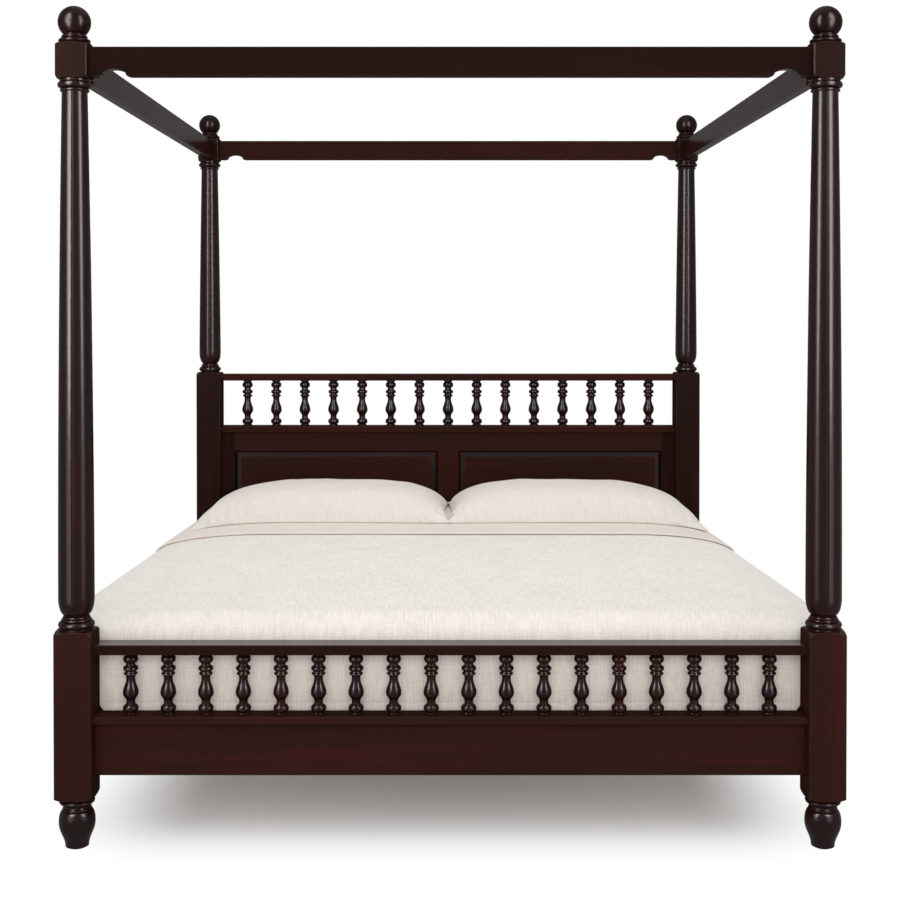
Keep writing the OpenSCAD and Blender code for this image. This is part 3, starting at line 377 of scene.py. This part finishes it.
def weave_at(made, places):
    """Keeps each point's place on the flat cloth, in metres, for the weave to follow."""
    kept = made.data.attributes.new("flat_cloth", "FLOAT_VECTOR", "POINT")
    kept.data.foreach_set("vector", np.asarray(places, np.float32).ravel())


WARP_SLUB, WEFT_SLUB = 12, 6     # how many times longer than the yarn is wide
CLOUD_MM = (110, 150)            # patches that wash and light have left paler


def slub_cloth(name, code, bounce_lit_code, yarn_mm, slub, relief_mm):
    """Plain-woven cotton with slubs, which are thick stretches of yarn that catch more light. The yarn is
    drawn as coarse as yarn_mm, because real threads are too fine to show. Where the place on the flat cloth
    has a height of 1, on the part that hangs, the second tone is painted: warm bounce light from the wood."""
    made = bpy.data.materials.new(name)
    made.use_nodes = True
    tree = made.node_tree
    flat = add(tree, "Attribute", attribute_name="flat_cloth").outputs["Vector"]

    def yarns(across_mm, along_mm, detail):
        size = add(tree, "Mapping", {"Vector": flat, "Scale": (1000 / across_mm, 1000 / along_mm, 1.0)})
        return add(tree, "TexNoise", {"Vector": size, "Scale": 1.0, "Detail": detail,
                                      "Roughness": 0.65}).outputs["Fac"]

    warp = yarns(yarn_mm, yarn_mm * WARP_SLUB, 3.0)
    weft = yarns(yarn_mm * WEFT_SLUB, yarn_mm, 3.0)
    cloud = yarns(*CLOUD_MM, 2.0)
    woven = add(tree, "Mix", {"Factor_Float": 0.38, "A_Color": warp, "B_Color": weft}, data_type="RGBA")
    shade = add(tree, "Mix", {"Factor_Float": 0.15, "A_Color": woven, "B_Color": cloud}, data_type="RGBA")
    level = add(tree, "MapRange", {"Value": shade, "From Min": 0.36, "From Max": 0.64, "To Min": 1 - slub,
                                   "To Max": 1 + slub / 2})
    # Painted warm bounce light: the hanging part's share, from the flat cloth's height, takes the second tone
    bounce_share = add(tree, "SeparateXYZ", {"Vector": flat}).outputs["Z"]
    cloth_with_bounce = add(tree, "Mix", {"Factor_Float": bounce_share, "A_Color": colour(code), "B_Color": colour(bounce_lit_code)},
               data_type="RGBA")
    tone = add(tree, "VectorMath", {"Vector": cloth_with_bounce, "Scale": level}, operation="SCALE")
    relief = add(tree, "Bump", {"Strength": 0.6, "Distance": relief_mm * MM, "Height": woven})
    wire(tree.nodes["Principled BSDF"], {
        "Base Color": tone, "Normal": relief, "Roughness": 0.9, "Specular IOR Level": 0.2,
        "Sheen Weight": 0.12, "Sheen Roughness": 0.5})
    return made


LEVEL_HALF = 0.66        # half the width of the bed's level middle
CROWN_END = 1.045        # how far out the bedding's sides hang
CROWN_DROP = 0.065       # and how far it has fallen there
FAN = 0.047              # how much wider the bedding lies for each metre towards the foot
FAN_MIDDLE_Y = -0.25
FAN_LEAST, FAN_MOST = 0.944, 1.013
PINCH = 0.033            # how much narrower it is drawn in behind the foot posts
PINCH_Y = -0.72
PINCH_LENGTH = 0.25


def spread(y):
    """How wide the bedding lies at y, as a share of its usual width: it fans out towards the foot, and is
    drawn in again behind the foot posts."""
    fanned = np.clip(1 - FAN * (y - FAN_MIDDLE_Y), FAN_LEAST, FAN_MOST)
    return fanned - PINCH * np.clip((PINCH_Y - y) / PINCH_LENGTH, 0, 1) ** 1.5


def crown_share(x, y):
    """How far x is from the level middle to the hanging side, from 0 to 1."""
    return np.clip((np.abs(x) / spread(y) - LEVEL_HALF) / (CROWN_END - LEVEL_HALF), 0, 1)


def crown(x, y):
    """How far the bed's top has fallen at a place."""
    return CROWN_DROP * (1 - np.sqrt(1 - crown_share(x, y) ** 2))


low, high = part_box("mattress")
CORNER_R = 0.06
LEAST_CORNER_R = 0.004
CORNER_STEP = 15         # degrees between the points round a corner
SIDE_STEPS = 12
EDGE_R = 0.05
TAPE_R = 0.003
# Each line of the tape: its inset, and how far past the rounded edge it lies
TAPE_LINES = ((0.0, 0.004), (-TAPE_R, 0.008), (0.0, 0.012), (0.002, 0.016))
WAIST = 0.001            # how far the cover draws in halfway down
TOP_INSETS = (0.1, 0.2, 0.35, 0.6, 0.9)
BOTTOM_INSET = 0.5


def mattress_ring(inset, z):
    """Points of a rectangle with round corners, inset from the mattress's sides, at height z."""
    reach = max(CORNER_R - inset, LEAST_CORNER_R)
    x, y = high.x - inset - reach, high.y - inset - reach
    middle_y = (high.y + low.y) / 2
    y -= middle_y
    ring = []
    for cx, cy, start in ((x, y, 0), (-x, y, 90), (-x, -y, 180), (x, -y, 270)):
        turns = [math.radians(start + a) for a in range(0, 91, CORNER_STEP)]
        ring += [(cx + reach * math.cos(a), cy + reach * math.sin(a)) for a in turns]
        last, nxt = ring[-1], {0: (-x, y + reach), 90: (-x - reach, -y), 180: (x, -y - reach),
                               270: (x + reach, y)}[start]
        ring += [(last[0] + (nxt[0] - last[0]) * k / SIDE_STEPS,
                  last[1] + (nxt[1] - last[1]) * k / SIDE_STEPS) for k in range(1, SIDE_STEPS)]
    top_share = max(0.0, (z - low.z) / (high.z - low.z))
    return [(px, py + middle_y, z - float(crown(px, py)) * top_share) for px, py in ring]


edge = [(EDGE_R * (1 - math.sin(a)), EDGE_R * (1 - math.cos(a))) for a in np.linspace(0, math.pi / 2, 8)]
tape = [(inset, EDGE_R + down) for inset, down in TAPE_LINES]
lower = [(inset, low.z + rise) for inset, rise in edge + tape]
upper = [(inset, high.z - rise) for inset, rise in reversed(edge + tape)]
inward = [(inset, high.z) for inset in TOP_INSETS]
profile = [(BOTTOM_INSET, low.z)] + lower + [(WAIST, (low.z + high.z) / 2)] + upper + inward
mattress_points = [p for inset, z in profile for p in mattress_ring(max(inset, 0.0), z)]
ring_length = len(mattress_ring(0, low.z))
mattress_faces = [(r * ring_length + k, r * ring_length + (k + 1) % ring_length,
                   (r + 1) * ring_length + (k + 1) % ring_length, (r + 1) * ring_length + k)
                  for r in range(len(profile) - 1) for k in range(ring_length)]
mattress_faces += [tuple(reversed(range(ring_length))),
                   tuple(range(len(mattress_points) - ring_length, len(mattress_points)))]
ticking = slub_cloth("woven_ticking", "#e6e2da", "#e6e2da", 3.0, 0.06, 0.3)
mattress = piece("mattress_cover", mattress_points, mattress_faces, ticking, "mattress")
weave_at(mattress, mattress_points)
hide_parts("mattress")

# Coverlet: a thick cream bedspread in slubby cotton, laid over the mattress with its foot corners split
# for the posts. It rounds the bed's edges and hangs in shallow folds to a stitched hem.
COVER_T = 0.007
OFF_CENTRE = -0.012      # the sides lie this much to the left
FOOT_ROLL_Y = -0.90      # where the top starts to round over at the foot
FOOT_ROLL_DROP = 0.07
FOOT_HANG_Y = -0.987
FOOT_DROP = 0.253
FOOT_HALF = 0.962        # the foot drop's ends tuck in behind the posts
FOOT_SWING = 0.004       # how deep its folds are
FOOT_CORNER_R = 0.018
SIDE_END_Y = -0.975      # the sides stop here, just short of the posts
POST_INNER = 0.917
POST_BACK_Y = -0.977
TUCK = 0.02              # how far the ends are pushed in behind the posts, and over what width
TUCK_START = 0.024       # how far inside the posts' inner faces this starts
HEM_FLARE = 0.002
FOLD_DEPTH = 0.007
FOLDS = ((0.6, 0.56, 0.7), (0.4, 0.31, 1.92))        # share, spacing and start
FOLDS_SHIFT = 0.17       # how far each side's folds are moved along the bed, in opposite directions
FOLDS_START_Y = -0.96    # the folds and the shift to the left start from nothing here
FOLDS_GROW = 0.35        # and are whole after this length
SHOULDER = 1.6           # the shift is whole after 1 / 1.6 of the rounded edge's drop
RUMPLE = 0.0015
HEM_W = 0.024
HEM_STEP = 0.0014        # how far the doubled hem stands off
STITCH_DEPTH = 0.0012
THREAD_W = 0.001
HEM_LINES = (0.034, HEM_W + 0.003, HEM_W, HEM_W - 0.003, 0.003, 0.0)
CELL = 0.015
LEAST_ROLL_LINES = 9
ROLL_LENGTH = 1.25       # of a rounded edge, as a share of how far it reaches out
BOUNCE_LIGHT_FROM, BOUNCE_LIGHT_OVER = 0.02, 0.1     # how far down the painted warm bounce light starts, and over what drop it grows
NO_HEM = 9               # a gap, in metres, where no hem is near
cover_low, cover_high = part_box("coverlet")
cover_top = cover_high.z
side_drop = cover_top - cover_low.z


def falling(level_end, hang, roll_drop, drop):
    """Points [outwards, down] from the level top's end over a rounded edge and down to the hem."""
    arc_lines = max(LEAST_ROLL_LINES, round(ROLL_LENGTH * (hang - level_end) / CELL))
    arc = [(level_end + (hang - level_end) * math.sin(a), roll_drop * (1 - math.cos(a)))
           for a in np.linspace(0, math.pi / 2, arc_lines)[1:]]
    straight = np.arange(roll_drop + CELL, drop - HEM_LINES[0] - CELL / 3, CELL)
    return np.array(arc + [(hang, down) for down in straight] + [(hang, drop - gap) for gap in HEM_LINES])


def measured(points):
    """Distance along a line of points from its first one."""
    return np.concatenate([[0.0], np.cumsum(np.linalg.norm(np.diff(points, axis=0), axis=1))])


def lines_across(drop):
    """The cloth's lines across the bed: x, how far down, place on the flat cloth, and the surface's
    normal as [outwards, up]."""
    level = np.stack([np.linspace(0, LEVEL_HALF, round(LEVEL_HALF / CELL) + 1),
                      np.zeros(round(LEVEL_HALF / CELL) + 1)], -1)
    half = np.concatenate([level, falling(LEVEL_HALF, CROWN_END, CROWN_DROP, drop)])
    flat = measured(half)
    along = np.gradient(half, axis=0)
    normal = np.stack([along[:, 1], along[:, 0]], -1)
    normal /= np.linalg.norm(normal, axis=1)[:, None]
    return (np.concatenate([-half[:0:-1, 0], half[:, 0]]), np.concatenate([half[:0:-1, 1], half[:, 1]]),
            np.concatenate([-flat[:0:-1], flat]), np.concatenate([normal[:0:-1], normal]))


def fold_wave(y):
    """How far the hanging cloth stands out at y, from -1 to 1."""
    return sum(share * np.sin(y * math.tau / spacing + start) for share, spacing, start in FOLDS)


def soft_noise(x, y, seed):
    """Smooth noise from -1 to 1 at arrays of places."""
    return np.array([noise.noise((a, b, seed)) for a, b in zip(x.ravel(), y.ravel())]).reshape(x.shape)


def smooth_step(t):
    """0 below 0, 1 above 1, and an even curve between."""
    t = np.clip(t, 0, 1)
    return t * t * (3 - 2 * t)


def stand_out(x, y, down):
    """How far the hanging sides stand away from a plain fall, and lie to one side."""
    hang = np.clip((down - CROWN_DROP) / (side_drop - CROWN_DROP), 0, 1)
    folds = np.sign(x) * hang * (HEM_FLARE + FOLD_DEPTH * fold_wave(y + FOLDS_SHIFT * np.sign(x)))
    shoulder = smooth_step(down / CROWN_DROP * SHOULDER)
    return (folds + OFF_CENTRE * shoulder) * smooth_step((y - FOLDS_START_Y) / FOLDS_GROW)


def hem_relief(gap):
    """How far the cloth stands off near its edge: a doubled hem with a sunk line of stitches above it."""
    on_hem = (gap < HEM_W - THREAD_W) * (gap > THREAD_W)
    return HEM_STEP * on_hem - STITCH_DEPTH * (np.abs(gap - HEM_W) < THREAD_W)


def grid_faces(rows, columns, keep):
    """Faces of a grid of points, without the cells that keep leaves out."""
    return [(i * columns + j, i * columns + j + 1, (i + 1) * columns + j + 1, (i + 1) * columns + j)
            for i in range(rows - 1) for j in range(columns - 1) if keep(i, j)]


def without_spares(points, weave, faces):
    """The points that faces use, with the faces renumbered."""
    used = sorted({k for face in faces for k in face})
    place = {k: n for n, k in enumerate(used)}
    return points[used], weave[used], [tuple(place[k] for k in face) for face in faces]


x, x_down, x_flat, x_normal = lines_across(side_drop)
foot = falling(-FOOT_ROLL_Y, -FOOT_HANG_Y, FOOT_ROLL_DROP, FOOT_DROP)[::-1]
level_y = np.linspace(FOOT_ROLL_Y, cover_high.y, round((cover_high.y - FOOT_ROLL_Y) / CELL) + 1)
y = np.concatenate([-foot[:, 0], level_y])
y_down = np.concatenate([foot[:, 1], np.zeros(len(level_y))])
y_flat = measured(np.stack([y, y_down], -1))
X, Y = np.meshgrid(x, y)
DX, DY = np.meshgrid(x_down, y_down)
FX, FY = np.meshgrid(x_flat, y_flat)
NX = np.sign(X) * np.meshgrid(x_normal[:, 0], y)[0]
NZ = np.meshgrid(x_normal[:, 1], y)[0]
hung_at_foot = np.clip((DY - FOOT_ROLL_DROP) / (FOOT_DROP - FOOT_ROLL_DROP), 0, 1)
rumple = 0.7 * soft_noise(FX * 3.0, FY * 2.4, 3.1) + 0.3 * soft_noise(FX * 9.0, FY * 7.0, 8.4)
edge_gap = (side_drop - DX) * (DX > CROWN_DROP) + NO_HEM * (DX <= CROWN_DROP)
foot_gap = (FOOT_DROP - DY) * (DY > FOOT_ROLL_DROP) + NO_HEM * (DY <= FOOT_ROLL_DROP)
lift = RUMPLE * (rumple - 1) * (1 - hung_at_foot) + hem_relief(edge_gap)
X2 = X * spread(Y) + stand_out(X, Y, DX) + NX * lift
# The foot drop hangs free between the posts, and its ends are pushed in behind them
behind_post = POST_BACK_Y - TUCK * (1 - smooth_step((np.abs(X2) - POST_INNER + TUCK_START) / TUCK))
Y2 = np.maximum(Y + hung_at_foot * FOOT_SWING * fold_wave(X * 1.3) - hem_relief(foot_gap), behind_post)
corner_in = np.clip((np.abs(X2) - (POST_INNER - FOOT_CORNER_R)) / FOOT_CORNER_R, 0, 1)
rounded_up = hung_at_foot * FOOT_CORNER_R * (1 - np.sqrt(1 - corner_in ** 2))
Z2 = cover_top - np.hypot(DX, DY) + NZ * lift + rounded_up
cover_points = np.stack([X2, Y2, Z2], -1).reshape(-1, 3)
rows, columns = X.shape
in_foot = np.abs(x) * spread(FOOT_HANG_Y) <= FOOT_HALF
cover_faces = grid_faces(rows, columns, lambda i, j: y[i] >= SIDE_END_Y or (in_foot[j] and in_foot[j + 1]))
# Painted warm bounce light on the cloth that hangs over the edges, growing with the drop
hanging = smooth_step((np.hypot(DX, DY) - BOUNCE_LIGHT_FROM) / BOUNCE_LIGHT_OVER)
cover_points, cover_weave, cover_faces = without_spares(
    cover_points, np.stack([FX, FY, hanging], -1).reshape(-1, 3), cover_faces)
# The second tone is the painted warm bounce light on the hanging cloth
cotton = slub_cloth("slubby_cotton", "#ede7e0", "#f4e9df", 5.0, 0.17, 0.8)
coverlet = piece("coverlet_cloth", cover_points, cover_faces, cotton, "mattress")
weave_at(coverlet, cover_weave)
wadding = coverlet.modifiers.new("wadding", "SOLIDIFY")
wadding.thickness = COVER_T
wadding.offset = -1
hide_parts("coverlet")

# Turned-down sheet: fine cotton percale folded back over the coverlet. Its folded edge makes a small
# rounded nose across the bed, and its sides hang less far than the coverlet's.
SHEET_T = 0.0016
SHEET_LIFT = 0.0012      # from the coverlet to the middle of the sheet
NOSE_R = 0.0022
NOSE_LINES = 7
UNDERLAP = 0.16
UNDERLAP_LINES = 8
TOP_HEM = 0.11           # from the fold to the stitches of the sheet's wide hem
STITCH_W = 0.006
PUCKER = 0.0022          # how far the stitches draw the sheet down
BROAD_WANDER, FINE_WANDER = 0.005, 0.002
WANDER_FADES = 0.25      # how far from the fold it lies straight again
FOLD_SET_BACK = 0.02     # how far the fold lies behind the CAD solid's front edge
SHEET_SHORTER = 0.075    # than the coverlet's fall at the sides
SHEET_DROP = side_drop - SHEET_SHORTER
sheet_low, sheet_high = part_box("sheet_turndown")
x, x_down, x_flat, x_normal = lines_across(SHEET_DROP)
fold_y = sheet_low.y + NOSE_R + FOLD_SET_BACK
level_y = np.linspace(fold_y, sheet_high.y, round((sheet_high.y - fold_y) / CELL) + 1)
turn = np.linspace(0, math.pi, NOSE_LINES)
y = np.concatenate([fold_y + np.linspace(UNDERLAP, 0, UNDERLAP_LINES + 1)[:-1],
                    fold_y - NOSE_R * np.sin(turn), level_y[1:]])
rise = np.concatenate([np.zeros(UNDERLAP_LINES), NOSE_R * (1 - np.cos(turn)),
                       np.full(len(level_y) - 1, 2 * NOSE_R)])
y_flat = measured(np.stack([y, rise], -1))
X, Y = np.meshgrid(x, y)
DX, RISE = np.meshgrid(x_down, rise)
FX, FY = np.meshgrid(x_flat, y_flat)
NX = np.sign(X) * np.meshgrid(x_normal[:, 0], y)[0]
NZ = np.meshgrid(x_normal[:, 1], y)[0]
wander = BROAD_WANDER * soft_noise(FX * 1.7, 0 * FX, 5.5) + FINE_WANDER * soft_noise(FX * 7, 0 * FX, 9.5)
near_fold = np.clip(1 - (Y - fold_y) / WANDER_FADES, 0, 1)
rumple = 0.5 + 0.5 * soft_noise(FX * 4.0, FY * 6.0, 1.7)
stitches = np.exp(-((Y - fold_y - TOP_HEM) / STITCH_W) ** 2)
lift = SHEET_LIFT + RISE + (RUMPLE * rumple - PUCKER * stitches) * (RISE > 1.9 * NOSE_R)
X2 = X * spread(Y) + stand_out(X, Y, DX) + NX * lift
Z2 = cover_top - DX + NZ * lift
sheet_points = np.stack([X2, Y + wander * near_fold, Z2], -1).reshape(-1, 3)
rows, columns = X.shape
percale = slub_cloth("cotton_percale", "#e5dbd2", "#e5dbd2", 3.4, 0.09, 0.4)
turndown = piece("turned_down_sheet", sheet_points, grid_faces(rows, columns, lambda i, j: True), percale,
                 "mattress")
weave_at(turndown, np.stack([FX, FY, 0 * FX], -1).reshape(-1, 3))
thread = turndown.modifiers.new("thread", "SOLIDIFY")
thread.thickness = SHEET_T
thread.offset = 0
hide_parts("sheet_turndown")


# Pillows: feather-filled, in slip-on cases seamed all round. The filling crowns the middle, draws the
# sides in between the corners and puckers the cloth along the seam.
PILLOW_CELLS = (110, 66)
CROWDED = 0.6            # how much of the grid's spacing closes up towards the seam
OUTER_END = (2.5, 0.042)     # how full the end is, and how far its middle is drawn in
INNER_END = (4.0, 0.03)
SIDE_POWER = 2.8
FULLNESS = 0.55          # lower rises more steeply from the seam
SIDE_DRAWN_IN = 0.06
CORNER_REACH = 1.012
SWELL_ROOM = 0.011       # about how far below the CAD solid's top the case starts
BACK_FULLER = 0.12       # how much fuller it grows towards the head
FULLEST = 1.02           # about the most that this makes of its height
UNDERSIDE = 2.2          # higher reaches the bed closer to the seam
SEAM_FRONT, SEAM_RISE = 0.035, 0.05      # the seam's height, as a share, and how much higher it is behind
CORNER_SAG = 0.4         # how much lower it is at the corners
PUCKER_MM = 34
PUCKER_DEPTH = 0.0022
PUCKER_REACH = 0.035
PUCKER_START = 0.006     # the puckers grow from nothing at the seam over this distance
EAR_H = 0.006            # how far the corners' cloth stands up
EAR_W, EAR_L = 0.016, 0.13
DEEP_CREASE, FINE_CREASE = 0.0035, 0.0014
SPARE_CLOTH = 0.03       # how much longer the case is than the shape it starts from
PILLOW_MOVES = 0.008
FILLING_FRAMES = 20
pillow_case = slub_cloth("pillowcase_cotton", "#e7e0d8", "#e7e0d8", 3.4, 0.11, 0.5)


def swell(made, held):
    """Lets the cloth solver press the filling into the case, with the held points fixed, and keeps the
    result. No point moves further than PILLOW_MOVES."""
    scene = bpy.context.scene
    count = len(made.data.vertices)
    start = np.empty(count * 3, np.float32)
    made.data.vertices.foreach_get("co", start)
    made.vertex_groups.new(name="held").add(held, 1.0, "REPLACE")
    cloth = made.modifiers.new("filling", "CLOTH")
    cloth.settings.vertex_group_mass = "held"
    cloth.settings.quality = 5
    cloth.settings.mass = 0.15
    cloth.settings.tension_stiffness = 25
    cloth.settings.compression_stiffness = 25
    cloth.settings.shear_stiffness = 6
    cloth.settings.bending_stiffness = 0.12
    cloth.settings.use_pressure = True
    cloth.settings.uniform_pressure_force = 2.5
    cloth.settings.shrink_min = -SPARE_CLOTH
    cloth.settings.effector_weights.gravity = 0
    cloth.collision_settings.use_collision = False
    cloth.point_cache.frame_end = 24
    for number in range(1, FILLING_FRAMES + 1):
        scene.frame_set(number)
    filled = made.evaluated_get(bpy.context.evaluated_depsgraph_get())
    moved = np.empty(count * 3, np.float32)
    filled.data.vertices.foreach_get("co", moved)
    way = (moved - start).reshape(-1, 3)
    length = np.linalg.norm(way, axis=1, keepdims=True)
    way *= PILLOW_MOVES * np.tanh(length / PILLOW_MOVES) / np.maximum(length, 1e-6)
    made.modifiers.remove(cloth)
    scene.frame_set(1)
    made.data.vertices.foreach_set("co", start + way.ravel())
    made.data.update()


def pillow(name, cad_node, outer, seed):
    """One pillow in the space of its CAD solid, bent down over the bed's crown. Its outer end is on the
    side that outer, -1 or 1, gives."""
    foot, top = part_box(cad_node)
    size = top - foot
    centre = (foot + top) / 2
    nx, ny = PILLOW_CELLS
    us, vs = (CROWDED * np.sin(math.pi / 2 * t) + (1 - CROWDED) * t
              for t in (np.linspace(-1, 1, nx + 1), np.linspace(-1, 1, ny + 1)))
    points, weave = [], []
    for upper in (True, False):
        for i in range(nx + 1):
            for j in range(ny + 1):
                u, v = float(us[i]), float(vs[j])
                end_power, drawn_in = OUTER_END if u * outer > 0 else INNER_END
                full = ((1 - abs(u) ** end_power) * (1 - abs(v) ** SIDE_POWER)) ** FULLNESS
                seam = size.z * (SEAM_FRONT + SEAM_RISE * (v + 1) / 2) * (1 - CORNER_SAG * abs(u * v) ** 3)
                side, end = (1 - abs(v)) * size.y / 2, (1 - abs(u)) * size.x / 2
                from_seam = min(side, end)
                along = u * size.x / 2 if side < end else v * size.y / 2
                near = math.exp(-from_seam / PUCKER_REACH) * min(1.0, from_seam / PUCKER_START)
                ridge = math.sin(along * 1000 / PUCKER_MM * math.tau + 3 * noise.noise((along * 9, seed, 0)))
                pucker = PUCKER_DEPTH * near * ridge * (0.6 + 0.8 * noise.noise((along * 5, 0, seed)))
                ear = EAR_H * math.exp(-((side - end) / EAR_W) ** 2) * math.exp(-(side + end) / EAR_L)
                crease = noise.noise((u * 4, v * 3, seed)) * DEEP_CREASE * full \
                    + noise.noise((u * 9 + v * 3, v * 4, seed + 5)) * FINE_CREASE * full
                if upper:
                    swollen = (size.z - seam - SWELL_ROOM) * full * (1 + BACK_FULLER * v * full) / FULLEST
                    lift = swollen + crease + pucker + ear
                else:
                    lift = -seam * min(1.0, UNDERSIDE * full)
                px = centre.x + size.x / 2 * u * (CORNER_REACH - drawn_in * (1 - v * v) * abs(u))
                py = centre.y + size.y / 2 * v * (1 - SIDE_DRAWN_IN * (1 - u * u) * abs(v))
                points.append((px, py, foot.z + seam + lift - float(crown(px, py))))
                weave.append((u * size.x / 2, v * size.y / 2, 0.0))
    count = (nx + 1) * (ny + 1)

    def at(i, j, upper):
        on_seam = i in (0, nx) or j in (0, ny)
        return i * (ny + 1) + j + (0 if upper or on_seam else count)

    faces = []
    for i in range(nx):
        for j in range(ny):
            faces.append((at(i, j, True), at(i + 1, j, True), at(i + 1, j + 1, True), at(i, j + 1, True)))
            faces.append((at(i, j, False), at(i, j + 1, False), at(i + 1, j + 1, False),
                          at(i + 1, j, False)))
    points, weave, faces = without_spares(np.array(points), np.array(weave), faces)
    made = piece(name, points, faces, pillow_case, cad_node)
    weave_at(made, weave)
    seam_line = [i * (ny + 1) + j for i in range(nx + 1) for j in range(ny + 1)
                 if i in (0, nx) or j in (0, ny)]
    swell(made, seam_line + list(range(count, len(points))))
    smooth = made.modifiers.new("smooth", "SUBSURF")
    smooth.levels = 1
    smooth.render_levels = 1
    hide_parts(cad_node)


pillow("pillow_case_left", "pillow_left", -1, 2.0)
pillow("pillow_case_right", "pillow_right", 1, 7.0)
